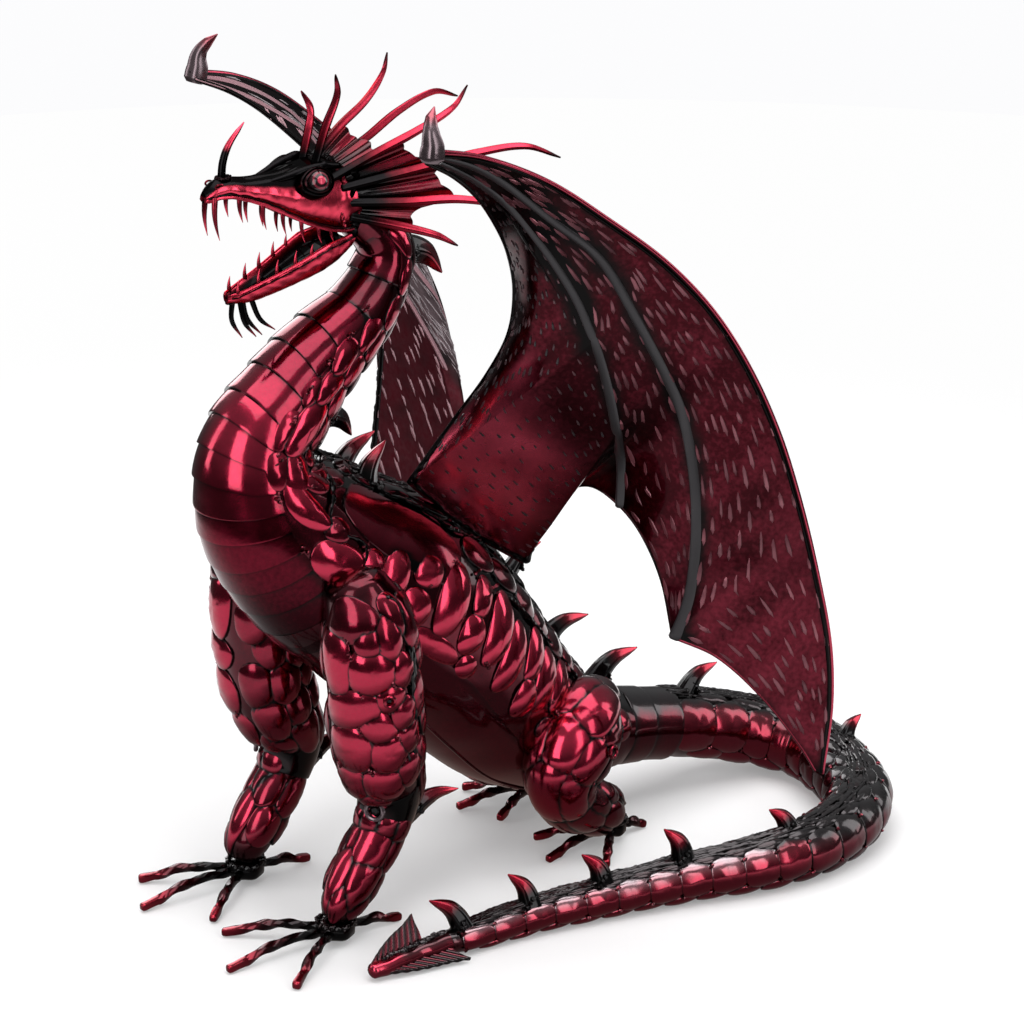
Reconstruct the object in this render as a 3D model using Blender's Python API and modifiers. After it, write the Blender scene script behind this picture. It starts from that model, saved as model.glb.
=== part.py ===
"""Metal dragon garden statue.

A seated sheet-steel dragon with raised wings and a tail curled along its left side.
Metres, +Z up. While modelling, x = 0 is the dragon's mid-plane, +X is its left,
-Y is the way it faces and z = 0 is the ground. At the end everything is moved so that
the origin is the centre of the underside of its bounding box.
"""
import math

import bmesh
import bpy
import numpy as np
from mathutils import Matrix, Vector

# ---------------------------------------------------------------- driving sizes
GAP = 0.0004            # clearance between welded neighbours
BAR = 0.0082            # side of the square bar that the toes are forged from
TOE_TURNS = 62.0        # twist of the toe bars, radians per metre
BACK_TOE_RISE = 0.0125
WING_SHEET = 0.0022     # wing sheet thickness
WEB_SHEET = 0.0020      # crest web sheet thickness
EYE_R = 0.0125
EYE = (0.0285, 0.117, 0.7455)
BODY_SIDES = 16
LEG_SIDES = 11
TAIL_SIDES = 10

# spine of neck and trunk: y, z, half height, half width
SPINE = [
    (0.176, 0.702, 0.022, 0.022),
    (0.208, 0.668, 0.0250, 0.0275),
    (0.2065, 0.643, 0.0275, 0.0300),
    (0.181, 0.606, 0.0335, 0.0335),
    (0.146, 0.578, 0.040, 0.040),
    (0.115, 0.553, 0.044, 0.044),
    (0.090, 0.527, 0.048, 0.048),
    (0.067, 0.500, 0.053, 0.051),
    (0.062, 0.470, 0.061, 0.057),
    (0.079, 0.426, 0.077, 0.067),
    (0.126, 0.372, 0.091, 0.078),
    (0.190, 0.323, 0.101, 0.085),
    (0.254, 0.263, 0.101, 0.087),
    (0.306, 0.203, 0.092, 0.083),
    (0.355, 0.1510, 0.0825, 0.075),
    (0.413, 0.1115, 0.0655, 0.062),
    (0.470, 0.096, 0.047, 0.047),
    (0.500, 0.091, 0.041, 0.041),
]

# tail centre line and radius: x, y, z, r. It lies on the ground from the loop on.
TAIL = [
    (0.000, 0.490, 0.0925, 0.0420),
    (0.000, 0.545, 0.081, 0.0375),
    (0.002, 0.615, 0.062, 0.0365),
    (0.020, 0.678, 0.043, 0.0355),
    (0.063, 0.708, 0.035, 0.0350),
    (0.131, 0.698, 0.034, 0.0340),
    (0.190, 0.672, 0.033, 0.0330),
    (0.228, 0.628, 0.031, 0.0310),
    (0.246, 0.570, 0.029, 0.0290),
    (0.245, 0.517, 0.027, 0.0270),
    (0.235, 0.472, 0.0245, 0.0245),
    (0.221, 0.430, 0.0225, 0.0225),
    (0.207, 0.377, 0.0210, 0.0205),
    (0.195, 0.323, 0.0190, 0.0185),
    (0.182, 0.259, 0.0170, 0.0165),
    (0.175, 0.192, 0.0140, 0.0140),
    (0.171, 0.156, 0.0130, 0.0125),
]
# the last stretch of the tail, forged in one with its arrowhead: x, y, z, r
TAIL_END = [
    (0.1710, 0.1550, 0.0130, 0.0122),
    (0.1710, 0.1300, 0.0125, 0.0105),
    (0.1715, 0.1050, 0.0115, 0.0090),
    (0.1720, 0.0820, 0.0105, 0.0085),
    (0.1720, 0.0690, 0.0098, 0.0078),
]

# legs: x, y, z, r from the shoulder or hip down to the ankle
FRONT_LEG = [
    (0.080, 0.118, 0.362, 0.0360),
    (0.086, 0.124, 0.338, 0.0430),
    (0.088, 0.127, 0.303, 0.0475),
    (0.088, 0.130, 0.262, 0.0478),
    (0.087, 0.133, 0.219, 0.0475),
    (0.085, 0.140, 0.176, 0.0435),
    (0.084, 0.149, 0.142, 0.0340),
    (0.083, 0.137, 0.103, 0.0290),
    (0.082, 0.111, 0.066, 0.0300),
    (0.082, 0.092, 0.038, 0.0280),
    (0.082, 0.087, 0.026, 0.0225),
]
RIGHT_LEG_FORWARD = (0.007, 0.014)    # the right front leg stands a little further forward: shin, shoulder
REAR_LEG = [
    (0.052, 0.432, 0.158, 0.0260),
    (0.060, 0.414, 0.152, 0.0370),
    (0.068, 0.392, 0.137, 0.0440),
    (0.075, 0.374, 0.115, 0.0422),
    (0.077, 0.367, 0.090, 0.0345),
    (0.075, 0.378, 0.070, 0.0290),
    (0.071, 0.404, 0.052, 0.0270),
    (0.067, 0.430, 0.038, 0.0225),
    (0.065, 0.442, 0.028, 0.0160),
]

# feet: ankle, three front toe tips and one back toe tip on the ground
FEET_PLAN = {
    "front_foot_left": dict(ankle=(0.082, 0.086), toes=[(0.008, 0.001), (0.077, -0.036), (0.144, -0.002)],
                            back=(0.084, 0.161), hub=0.0190, rise=0.0165),
    "front_foot_right": dict(ankle=(-0.082, 0.086), toes=[(-0.020, 0.007), (-0.084, -0.036), (-0.141, -0.005)],
                             back=(-0.080, 0.161), hub=0.0190, rise=0.0165),
    "rear_foot_left": dict(ankle=(0.065, 0.444), toes=[(0.021, 0.374), (0.072, 0.353), (0.117, 0.394)],
                           back=(0.064, 0.488), hub=0.0145, rise=0.0155),
    "rear_foot_right": dict(ankle=(-0.065, 0.444), toes=[(-0.036, 0.371), (-0.086, 0.353), (-0.123, 0.387)],
                            back=(-0.066, 0.488), hub=0.0145, rise=0.0155),
}

# skull side view: y, top z, lip z, half width
SKULL = [
    (0.0125, 0.7460, 0.7365, 0.0055),
    (0.0170, 0.7505, 0.7375, 0.0085),
    (0.0250, 0.7560, 0.7395, 0.0108),
    (0.0380, 0.7565, 0.7385, 0.0128),
    (0.0550, 0.7542, 0.7330, 0.0150),
    (0.0730, 0.7535, 0.7255, 0.0185),
    (0.0910, 0.7535, 0.7155, 0.0225),
    (0.1100, 0.7570, 0.7050, 0.0262),
    (0.1300, 0.7600, 0.6965, 0.0285),
    (0.1480, 0.7580, 0.6920, 0.0285),
    (0.1640, 0.7480, 0.6910, 0.0260),
    (0.1780, 0.7320, 0.6960, 0.0200),
]
# lower jaw side view: y, lip z, underside z, half width
JAW = [
    (0.0330, 0.6460, 0.6385, 0.0045),
    (0.0410, 0.6475, 0.6365, 0.0088),
    (0.0580, 0.6535, 0.6355, 0.0128),
    (0.0800, 0.6615, 0.6390, 0.0180),
    (0.1050, 0.6718, 0.6450, 0.0240),
    (0.1310, 0.6835, 0.6520, 0.0280),
    (0.1480, 0.6870, 0.6600, 0.0272),
    (0.1620, 0.6895, 0.6700, 0.0235),
]
UPPER_TEETH = [(0.020, 0.036, 0.0036), (0.044, 0.021, 0.0032), (0.067, 0.022, 0.0030), (0.086, 0.020, 0.0029),
               (0.104, 0.019, 0.0028), (0.121, 0.014, 0.0026), (0.134, 0.010, 0.0022)]
LOWER_TEETH = [(0.042, 0.013, 0.0026), (0.062, 0.014, 0.0026), (0.080, 0.014, 0.0026), (0.098, 0.013, 0.0025),
               (0.114, 0.010, 0.0023)]

# wing outline. Leading edge from the thumb claw back and down to the tip: x, y, z
WING_LEAD = [
    (0.197, 0.121, 0.808),
    (0.205, 0.176, 0.796),
    (0.222, 0.235, 0.769),
    (0.236, 0.294, 0.727),
    (0.250, 0.352, 0.680),
    (0.264, 0.396, 0.630),
    (0.273, 0.434, 0.571),
    (0.277, 0.470, 0.500),
    (0.284, 0.494, 0.427),
    (0.290, 0.514, 0.350),
    (0.292, 0.532, 0.272),
    (0.293, 0.536, 0.205),
    (0.290, 0.530, 0.133),
]
# front edge from the claw down to the shoulder
WING_FRONT = [
    (0.192, 0.125, 0.796),
    (0.184, 0.158, 0.778),
    (0.168, 0.196, 0.750),
    (0.148, 0.231, 0.716),
    (0.134, 0.257, 0.680),
    (0.124, 0.272, 0.638),
    (0.108, 0.277, 0.590),
    (0.087, 0.266, 0.545),
    (0.064, 0.246, 0.501),
    (0.030, 0.213, 0.432),
]
WING_ROOT_MID = (0.030, 0.283, 0.367)
WING_REAR_ROOT = (0.040, 0.345, 0.322)
# lower edge: the open arch behind the body, the cusp at the middle rib, then out to the tip
WING_ARCH = [
    (0.040, 0.345, 0.322),
    (0.057, 0.356, 0.373),
    (0.078, 0.366, 0.404),
    (0.104, 0.379, 0.415),
    (0.134, 0.390, 0.402),
    (0.162, 0.397, 0.378),
    (0.184, 0.405, 0.335),
    (0.202, 0.406, 0.280),
]
WING_TRAIL = [
    (0.202, 0.406, 0.280),
    (0.236, 0.434, 0.264),
    (0.262, 0.470, 0.222),
    (0.280, 0.505, 0.169),
    (0.286, 0.523, 0.137),
]
CLAW = dict(base=(0.197, 0.127, 0.800), mid=(0.196, 0.130, 0.823), tip=(0.186, 0.138, 0.843), r=0.0118)

# crest rods, each as points from the skull outwards
RODS_LEFT = [
    [(0.014, 0.122, 0.752), (0.020, 0.133, 0.793), (0.027, 0.142, 0.824), (0.031, 0.138, 0.8436)],
    [(0.024, 0.132, 0.744), (0.037, 0.175, 0.7655), (0.050, 0.214, 0.784), (0.061, 0.248, 0.804), (0.067, 0.260, 0.824)],
    [(0.026, 0.146, 0.735), (0.051, 0.225, 0.749), (0.066, 0.272, 0.758), (0.079, 0.318, 0.760), (0.089, 0.352, 0.746)],
    [(0.026, 0.154, 0.720), (0.045, 0.204, 0.717), (0.062, 0.250, 0.716), (0.078, 0.288, 0.708), (0.086, 0.309, 0.697)],
    [(0.025, 0.156, 0.706), (0.038, 0.197, 0.694), (0.052, 0.233, 0.682), (0.060, 0.253, 0.670)],
]
RODS_RIGHT = [
    [(-0.014, 0.126, 0.748), (-0.020, 0.140, 0.781), (-0.026, 0.147, 0.800), (-0.030, 0.140, 0.817)],
    [(-0.020, 0.135, 0.746), (-0.037, 0.186, 0.775), (-0.051, 0.227, 0.793), (-0.062, 0.254, 0.813), (-0.066, 0.262, 0.831)],
    [(-0.022, 0.146, 0.740), (-0.044, 0.219, 0.757), (-0.062, 0.272, 0.774), (-0.078, 0.324, 0.7825), (-0.089, 0.361, 0.771)],
    [(-0.026, 0.154, 0.724), (-0.045, 0.206, 0.724), (-0.062, 0.250, 0.722), (-0.078, 0.288, 0.714), (-0.086, 0.309, 0.703)],
    [(-0.025, 0.156, 0.708), (-0.038, 0.197, 0.697), (-0.052, 0.233, 0.686), (-0.060, 0.253, 0.674)],
]
ROD_R = 0.0034
WEB_REACH = {"left": [0.50, 0.44, 0.63, 0.60], "right": [0.40, 0.34, 0.60, 0.60]}   # how far out the web goes along each rod

# horns welded along the back: name, base point, tip point, base radius
HORNS = [
    ("nape_horn", (0.000, 0.220, 0.659), (0.000, 0.277, 0.626), 0.0140),
    ("neck_horn", (0.000, 0.130, 0.512), (0.000, 0.169, 0.4825), 0.0115),
    ("shoulder_horn_right", (-0.024, 0.163, 0.424), (-0.027, 0.214, 0.470), 0.0125),
    ("shoulder_horn_left", (0.024, 0.167, 0.426), (0.027, 0.190, 0.480), 0.0125),
    ("back_horn", (0.000, 0.360, 0.300), (0.000, 0.398, 0.321), 0.0085),
    ("loin_horn", (0.000, 0.396, 0.206), (0.000, 0.460, 0.2265), 0.0110),
    ("rump_horn", (0.000, 0.464, 0.144), (0.000, 0.526, 0.173), 0.0120),
    ("tail_horn_1", (0.000, 0.590, 0.100), (0.000, 0.637, 0.128), 0.0108),
    ("tail_horn_2", (0.124, 0.712, 0.057), (0.121, 0.738, 0.083), 0.0100),
    ("tail_horn_3", (0.244, 0.533, 0.047), (0.230, 0.514, 0.075), 0.0110),
    ("tail_horn_4", (0.217, 0.414, 0.038), (0.208, 0.395, 0.079), 0.0115),
    ("tail_horn_5", (0.198, 0.327, 0.032), (0.188, 0.307, 0.069), 0.0110),
    ("tail_horn_6", (0.184, 0.248, 0.026), (0.171, 0.229, 0.064), 0.0105),
    ("tail_horn_7", (0.173, 0.176, 0.018), (0.158, 0.144, 0.056), 0.0105),
    ("elbow_horn_left", (0.086, 0.172, 0.112), (0.090, 0.228, 0.1265), 0.0105),
    ("elbow_horn_right", (-0.086, 0.168, 0.109), (-0.090, 0.222, 0.123), 0.0105),
]
# horns bow upwards, those of the straight run of the tail bow backwards
HORN_BEND = {"tail_horn_3": (0.2, 1.0, 0.0), "tail_horn_4": (0.2, 1.0, 0.0), "tail_horn_5": (0.2, 1.0, 0.0),
             "tail_horn_6": (0.2, 1.0, 0.0), "tail_horn_7": (0.2, 1.0, 0.0), "shoulder_horn_left": (0.0, -1.0, 0.0)}
WHISKERS = [
    ((0.000, 0.040, 0.640), (-0.002, 0.040, 0.620), (-0.001, 0.050, 0.602)),
    ((0.003, 0.046, 0.640), (0.004, 0.050, 0.618), (0.004, 0.062, 0.602)),
    ((-0.003, 0.052, 0.640), (-0.004, 0.058, 0.618), (-0.003, 0.073, 0.600)),
    ((0.003, 0.058, 0.640), (0.004, 0.067, 0.618), (0.004, 0.083, 0.605)),
]
NOSE_HORN = [(0.000, 0.032, 0.748), (0.000, 0.034, 0.770), (0.000, 0.041, 0.786), (0.000, 0.058, 0.805)]

# ---------------------------------------------------------------- scene set-up
for old in list(bpy.data.objects):
    bpy.data.objects.remove(old, do_unlink=True)
for mesh in list(bpy.data.meshes):
    bpy.data.meshes.remove(mesh)

STATUE = bpy.data.collections.new("metal_dragon_statue")
CUTTERS = bpy.data.collections.new("cutters")
bpy.context.scene.collection.children.link(STATUE)
bpy.context.scene.collection.children.link(CUTTERS)


def lacquer(name, colour, roughness, metallic):
    mat = bpy.data.materials.new(name)
    mat.use_nodes = True
    shader = mat.node_tree.nodes["Principled BSDF"]
    shader.inputs["Base Color"].default_value = (*colour, 1.0)
    shader.inputs["Roughness"].default_value = roughness
    shader.inputs["Metallic"].default_value = metallic
    mat.diffuse_color = (*colour, 1.0)
    return mat


RED = (0.30, 0.010, 0.022)
DARK = (0.075, 0.004, 0.010)
BLACK = (0.010, 0.009, 0.010)
BRIGHT = (0.50, 0.030, 0.045)


# ---------------------------------------------------------------- geometry helpers
def spline(stations, count):
    """Smooth curve through the stations, sampled at even arc length."""
    p = np.array(stations, float)
    dim = min(3, p.shape[1])
    t = np.concatenate(([0.0], np.cumsum(np.linalg.norm(np.diff(p[:, :dim], axis=0), axis=1))))
    m = np.zeros_like(p)
    m[1:-1] = (p[2:] - p[:-2]) / (t[2:] - t[:-2])[:, None]
    m[0] = (p[1] - p[0]) / (t[1] - t[0])
    m[-1] = (p[-1] - p[-2]) / (t[-1] - t[-2])

    def at(u):
        u = np.asarray(u, float)
        k = np.clip(np.searchsorted(t, u, side="right") - 1, 0, len(t) - 2)
        h = (t[k + 1] - t[k])[:, None]
        s = ((u - t[k])[:, None]) / h
        return ((2 * s**3 - 3 * s**2 + 1) * p[k] + (s**3 - 2 * s**2 + s) * h * m[k]
                + (-2 * s**3 + 3 * s**2) * p[k + 1] + (s**3 - s**2) * h * m[k + 1])

    fine = at(np.linspace(0, t[-1], 600))
    arc = np.concatenate(([0.0], np.cumsum(np.linalg.norm(np.diff(fine[:, :dim], axis=0), axis=1))))
    want = np.linspace(0, arc[-1], count)
    return np.stack([np.interp(want, arc, fine[:, c]) for c in range(p.shape[1])], axis=1)


def frames(path, side=(1.0, 0.0, 0.0)):
    """Tangent, side and dorsal direction at each point of a path."""
    path = np.asarray(path, float)
    tangent = np.gradient(path, axis=0)
    tangent /= np.linalg.norm(tangent, axis=1)[:, None]
    if callable(side):
        ref = np.array([side(v) for v in tangent])
    else:
        ref = np.tile(np.array(side, float), (len(path), 1))
    across = ref - (ref * tangent).sum(1)[:, None] * tangent
    across /= np.linalg.norm(across, axis=1)[:, None]
    return tangent, across, np.cross(across, tangent)


def finish(bm, name, mat, smooth=True, collection=None, sharp=40.0):
    bmesh.ops.remove_doubles(bm, verts=bm.verts, dist=1e-6)
    bmesh.ops.recalc_face_normals(bm, faces=bm.faces)
    if bm.calc_volume(signed=True) < 0:
        bmesh.ops.reverse_faces(bm, faces=bm.faces)
    mesh = bpy.data.meshes.new(name)
    bm.to_mesh(mesh)
    bm.free()
    if mat is not None:
        mesh.materials.append(mat)
    if smooth:
        mesh.shade_smooth()
        mesh.set_sharp_from_angle(angle=math.radians(sharp))
    obj = bpy.data.objects.new(name, mesh)
    (collection or STATUE).objects.link(obj)
    return obj


def loft(rings, bm=None, cap=True):
    """Skin a list of rings that all have the same number of points."""
    bm = bm or bmesh.new()
    rows = [[bm.verts.new(Vector(p)) for p in ring] for ring in rings]
    n = len(rows[0])
    for a, b in zip(rows[:-1], rows[1:]):
        for i in range(n):
            j = (i + 1) % n
            bm.faces.new((a[i], a[j], b[j], b[i]))
    if cap:
        bm.faces.new(rows[0][::-1])
        bm.faces.new(rows[-1])
    return bm


def ring_points(centre, across, up, width, height, sides, turn=0.0, power=2.0):
    out = []
    for i in range(sides):
        a = 2 * math.pi * i / sides + turn
        c, s = math.cos(a), math.sin(a)
        k = (abs(c)**power + abs(s)**power) ** (-1.0 / power)
        out.append(centre + across * (width * c * k) + up * (height * s * k))
    return out


def limb(name, stations, sides, mat, count, dome=(0.0, 0.0), side=(1.0, 0.0, 0.0)):
    """A round limb through x, y, z, r stations with domed ends. It stays above the ground."""
    s = spline(stations, count)
    s[:, 2] = np.maximum(s[:, 2], s[:, 3] + 0.0003)
    tangent, across, up = frames(s[:, :3], side)
    rings = []
    if dome[0] > 0:
        for k in (1, 2):
            a = math.pi / 2 * (1 - k / 3.0)
            rings.append(ring_points(s[0, :3] - tangent[0] * dome[0] * math.sin(a), across[0], up[0],
                                     s[0, 3] * math.cos(a), s[0, 3] * math.cos(a), sides))
    for p, u, v in zip(s, across, up):
        rings.append(ring_points(p[:3], u, v, p[3], p[3], sides))
    if dome[1] > 0:
        for k in (2, 1):
            a = math.pi / 2 * (1 - k / 3.0)
            rings.append(ring_points(s[-1, :3] + tangent[-1] * dome[1] * math.sin(a), across[-1], up[-1],
                                     s[-1, 3] * math.cos(a), s[-1, 3] * math.cos(a), sides))
    return finish(loft(rings), name, mat)


def curve_rod(name, points, radii, mat, resolution=1, count=7):
    """A tapering bar: a bevelled curve made into a mesh."""
    s = spline([tuple(p) + (r,) for p, r in zip(points, radii)], count)
    data = bpy.data.curves.new(name + "_line", "CURVE")
    data.dimensions = "3D"
    data.bevel_depth = 1.0
    data.bevel_resolution = resolution
    data.use_fill_caps = True
    line = data.splines.new("POLY")
    line.points.add(len(s) - 1)
    for q, p in zip(line.points, s):
        q.co = (p[0], p[1], p[2], 1.0)
        q.radius = p[3]
    temp = bpy.data.objects.new(name + "_line", data)
    STATUE.objects.link(temp)
    bpy.context.view_layer.update()
    graph = bpy.context.evaluated_depsgraph_get()
    mesh = bpy.data.meshes.new_from_object(temp.evaluated_get(graph))
    bm = bmesh.new()
    bm.from_mesh(mesh)
    bmesh.ops.transform(bm, matrix=temp.matrix_world, verts=bm.verts)
    bpy.data.objects.remove(temp, do_unlink=True)
    bpy.data.meshes.remove(mesh)
    bmesh.ops.remove_doubles(bm, verts=bm.verts, dist=2e-5)
    return finish(bm, name, mat)


def inflate(obj, gap=GAP, name=None):
    """A cutter: the same skin moved out by the gap."""
    bm = bmesh.new()
    bm.from_mesh(obj.data)
    bm.normal_update()
    moves = [(v, v.normal * gap * min(v.calc_shell_factor(), 2.0)) for v in bm.verts]
    for v, d in moves:
        v.co += d
    mesh = bpy.data.meshes.new((name or obj.name) + "_cutter")
    bm.to_mesh(mesh)
    bm.free()
    cutter = bpy.data.objects.new((name or obj.name) + "_cutter", mesh)
    CUTTERS.objects.link(cutter)
    cutter.hide_render = True
    cutter.display_type = "WIRE"
    return cutter


def boolean(obj, other, operation="DIFFERENCE"):
    """Cuts use the exact solver; unions of many crossing bars need the manifold one, which keeps them all."""
    mod = obj.modifiers.new(operation.lower(), "BOOLEAN")
    mod.operation = operation
    mod.solver = "EXACT" if operation == "DIFFERENCE" else "MANIFOLD"
    if operation == "DIFFERENCE":
        mod.use_self = True
    mod.object = other


def settle(obj, keep_largest=True):
    """Bake the modifiers and keep the largest connected body."""
    bpy.context.view_layer.update()
    graph = bpy.context.evaluated_depsgraph_get()
    mesh = bpy.data.meshes.new_from_object(obj.evaluated_get(graph))
    bm = bmesh.new()
    bm.from_mesh(mesh)
    bmesh.ops.remove_doubles(bm, verts=bm.verts, dist=2e-6)
    bmesh.ops.dissolve_degenerate(bm, edges=bm.edges, dist=2e-6)
    if keep_largest:
        # faces that hang on by an edge shared by four faces are slivers of the cut: they go too
        todo = set(bm.faces)
        groups = []
        while todo:
            stack = [min(todo, key=lambda f: f.index)]
            todo.discard(stack[0])
            group = [stack[0]]
            while stack:
                for e in stack.pop().edges:
                    if len(e.link_faces) == 2:
                        for g in e.link_faces:
                            if g in todo:
                                todo.discard(g)
                                group.append(g)
                                stack.append(g)
            groups.append(group)
        groups.sort(key=lambda g: -sum(f.calc_area() for f in g))
        stray = [f for g in groups[1:] for f in g]
        if stray:
            bmesh.ops.delete(bm, geom=stray, context="FACES")
            bmesh.ops.delete(bm, geom=[v for v in bm.verts if not v.link_faces], context="VERTS")
    mats = list(obj.data.materials)
    bm.to_mesh(mesh)
    bm.free()
    mesh.materials.clear()
    for m in mats:
        mesh.materials.append(m)
    mesh.shade_smooth()
    mesh.set_sharp_from_angle(angle=math.radians(40))
    obj.modifiers.clear()
    obj.data = mesh
    return obj


def merge(obj, others):
    """Weld other solids onto obj with Boolean unions."""
    for o in others:
        boolean(obj, o, "UNION")
    settle(obj)
    for o in others:
        bpy.data.objects.remove(o, do_unlink=True)
    return obj


# ---------------------------------------------------------------- trunk, neck and tail
def body():
    s = spline([(0.0, y, z, h, w) for y, z, h, w in SPINE], 30)
    tangent, across, up = frames(s[:, :3])
    rings = [ring_points(p[:3], u, v, p[4], p[3], BODY_SIDES) for p, u, v in zip(s, across, up)]
    return finish(loft(rings), "body", lacquer("body_lacquer", RED, 0.22, 0.85))


def flat_side(tangent):
    v = np.cross(tangent, (0.0, 0.0, 1.0))
    return v / np.linalg.norm(v)


TRUNK = body()
TAIL_OBJ = limb("tail", TAIL, TAIL_SIDES, lacquer("tail_lacquer", RED, 0.22, 0.85), 31, (0.0, 0.004), flat_side)
TRUNK_CUT = inflate(TRUNK)
TAIL_CUT = inflate(TAIL_OBJ)


# ---------------------------------------------------------------- legs and feet
def mirrored(points):
    return [(-p[0],) + tuple(p[1:]) for p in points]


boolean(TAIL_OBJ, TRUNK_CUT)
settle(TAIL_OBJ)
LEGS, LEG_CUTS = {}, {}
for side_name, sign in (("left", 1), ("right", -1)):
    front = [list(p) for p in FRONT_LEG]
    if sign < 0:
        for p in front:
            p[0] = -p[0]
            p[1] -= float(np.interp(p[2], [0.02, 0.06, 0.14, 0.21], [0.0, RIGHT_LEG_FORWARD[0], 0.004, RIGHT_LEG_FORWARD[1]]))
    rear = REAR_LEG if sign > 0 else mirrored(REAR_LEG)
    for end, stations, count in (("front", front, 13), ("rear", rear, 11)):
        key = f"{end}_leg_{side_name}"
        LEGS[key] = limb(key, stations, LEG_SIDES, lacquer(key + "_lacquer", RED, 0.22, 0.85), count, (0.020, 0.004))
        LEG_CUTS[key] = inflate(LEGS[key])


def toe(ankle, tip, rise):
    """One toe: a twisted square bar, arched up from the ankle and down to the ground."""
    a = np.array([ankle[0], ankle[1], 0.0])
    b = np.array([tip[0], tip[1], 0.0])
    length = np.linalg.norm(b - a)
    way = (b - a) / length
    start = a + way * 0.004
    knuckle = length * 0.60
    pts = [tuple(start + np.array([0, 0, 0.0125])), tuple(a + way * knuckle * 0.5 + np.array([0, 0, rise * 0.93])),
           tuple(a + way * knuckle + np.array([0, 0, rise * 0.90])),
           tuple(a + way * (knuckle + length) / 2 + np.array([0, 0, rise * 0.52])),
           tuple(b - way * 0.001 + np.array([0, 0, 0.0030]))]
    s = spline(pts, 7)
    tangent, across, up = frames(s, lambda v: np.cross(v, (0, 0, 1.0)))
    arc = np.concatenate(([0.0], np.cumsum(np.linalg.norm(np.diff(s, axis=0), axis=1))))
    rings = []
    half = BAR / math.sqrt(2)
    for k, (p, u, v) in enumerate(zip(s, across, up)):
        fade = max(0.0, 1.0 - arc[k] / (arc[-1] * 0.75))
        turn = math.pi / 4 + round(TOE_TURNS * arc[-1] * 0.12) * math.pi / 2 * fade
        rings.append(ring_points(p, u, v, half, half, 4, turn))
    return loft(rings)


def foot(name, leg_cutter):
    spec = FEET_PLAN[name]
    ax, ay = spec["ankle"]
    bm = bmesh.new()
    bmesh.ops.create_cone(bm, cap_ends=True, segments=12, radius1=spec["hub"], radius2=spec["hub"] * 0.92,
                          depth=0.016, matrix=Matrix.Translation((ax, ay, 0.0140)))
    obj = finish(bm, name, lacquer(name + "_lacquer", DARK, 0.28, 0.8))
    parts = []
    for k, (tx, ty) in enumerate(spec["toes"] + [spec["back"]]):
        rise = spec["rise"] if k < 3 else BACK_TOE_RISE
        parts.append(finish(toe((ax, ay), (tx, ty), rise), f"{name}_toe_{k}", None, False))
    merge(obj, parts)
    # the toe tips are ground flat where they stand
    bm = bmesh.new()
    bmesh.ops.create_cube(bm, size=1.0, matrix=Matrix.Translation((ax, ay, -0.05)) @ Matrix.Diagonal((0.4, 0.4, 0.1, 1.0)))
    ground = finish(bm, name + "_ground", None, False, CUTTERS)
    boolean(obj, ground)
    boolean(obj, leg_cutter)
    settle(obj)
    bpy.data.objects.remove(ground, do_unlink=True)
    return obj


FEET = {}
for name in FEET_PLAN:
    FEET[name] = foot(name, LEG_CUTS[name.replace("foot", "leg")])
for key, leg in LEGS.items():
    for cutter in (TRUNK_CUT, TRUNK):
        boolean(leg, cutter)
        settle(leg)


# ---------------------------------------------------------------- head
def along(table, y, column):
    t = np.array(table, float)
    return float(np.interp(y, t[:, 0], t[:, column]))


def tooth(root, tip, radius):
    root, tip = np.array(root, float), np.array(tip, float)
    axis = tip - root
    length = np.linalg.norm(axis)
    axis /= length
    u = np.cross(axis, (1.0, 0.2, 0.0))
    u /= np.linalg.norm(u)
    v = np.cross(u, axis)
    rings = [ring_points(root + axis * length * f, u, v, radius * r, radius * r, 4)
             for f, r in ((0.0, 1.0), (1.0, 0.12))]
    return loft(rings)


def skull():
    s = spline([(0.0, y, (a + b) / 2, (a - b) / 2, w) for y, a, b, w in SKULL], 13)
    rings = []
    for p in s:
        ring = []
        for i in range(14):
            a = 2 * math.pi * i / 14
            c, n = math.cos(a), math.sin(a)
            k = (abs(c)**2.6 + abs(n)**2.6) ** (-1 / 2.6)
            narrow = 1.0 - 0.22 * max(0.0, n) - 0.05 * max(0.0, -n)     # cheeks are wider than the forehead
            ring.append((p[4] * c * k * narrow, p[1], p[2] + p[3] * n * k))
        rings.append(ring)
    obj = finish(loft(rings), "skull", lacquer("skull_lacquer", BRIGHT, 0.25, 0.7))
    parts = []
    for sign in (1, -1):
        # raised ring round each eye
        bm = bmesh.new()
        out = Vector((0.90 * sign, -0.16, 0.40)).normalized()
        turn = Vector((0, 0, 1)).rotation_difference(out).to_matrix().to_4x4()
        bmesh.ops.create_cone(bm, cap_ends=True, segments=14, radius1=0.0195, radius2=0.0155, depth=0.012,
                              matrix=Matrix.Translation(Vector((EYE[0] * sign, EYE[1], EYE[2])) - out * 0.004) @ turn)
        parts.append(finish(bm, f"socket_{sign}", None))
        for y, length, radius in UPPER_TEETH:
            lip, w = along(SKULL, y, 2), along(SKULL, y, 3)
            root = lip + 0.30 * (along(SKULL, y, 1) - lip)
            splay = 1.25 if length > 0.03 else 0.92
            parts.append(finish(tooth((0.74 * w * sign, y, root), (splay * w * sign, y + 0.002, lip - length), radius),
                                f"tooth_{sign}_{y}", None))
    return merge(obj, parts)


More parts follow.
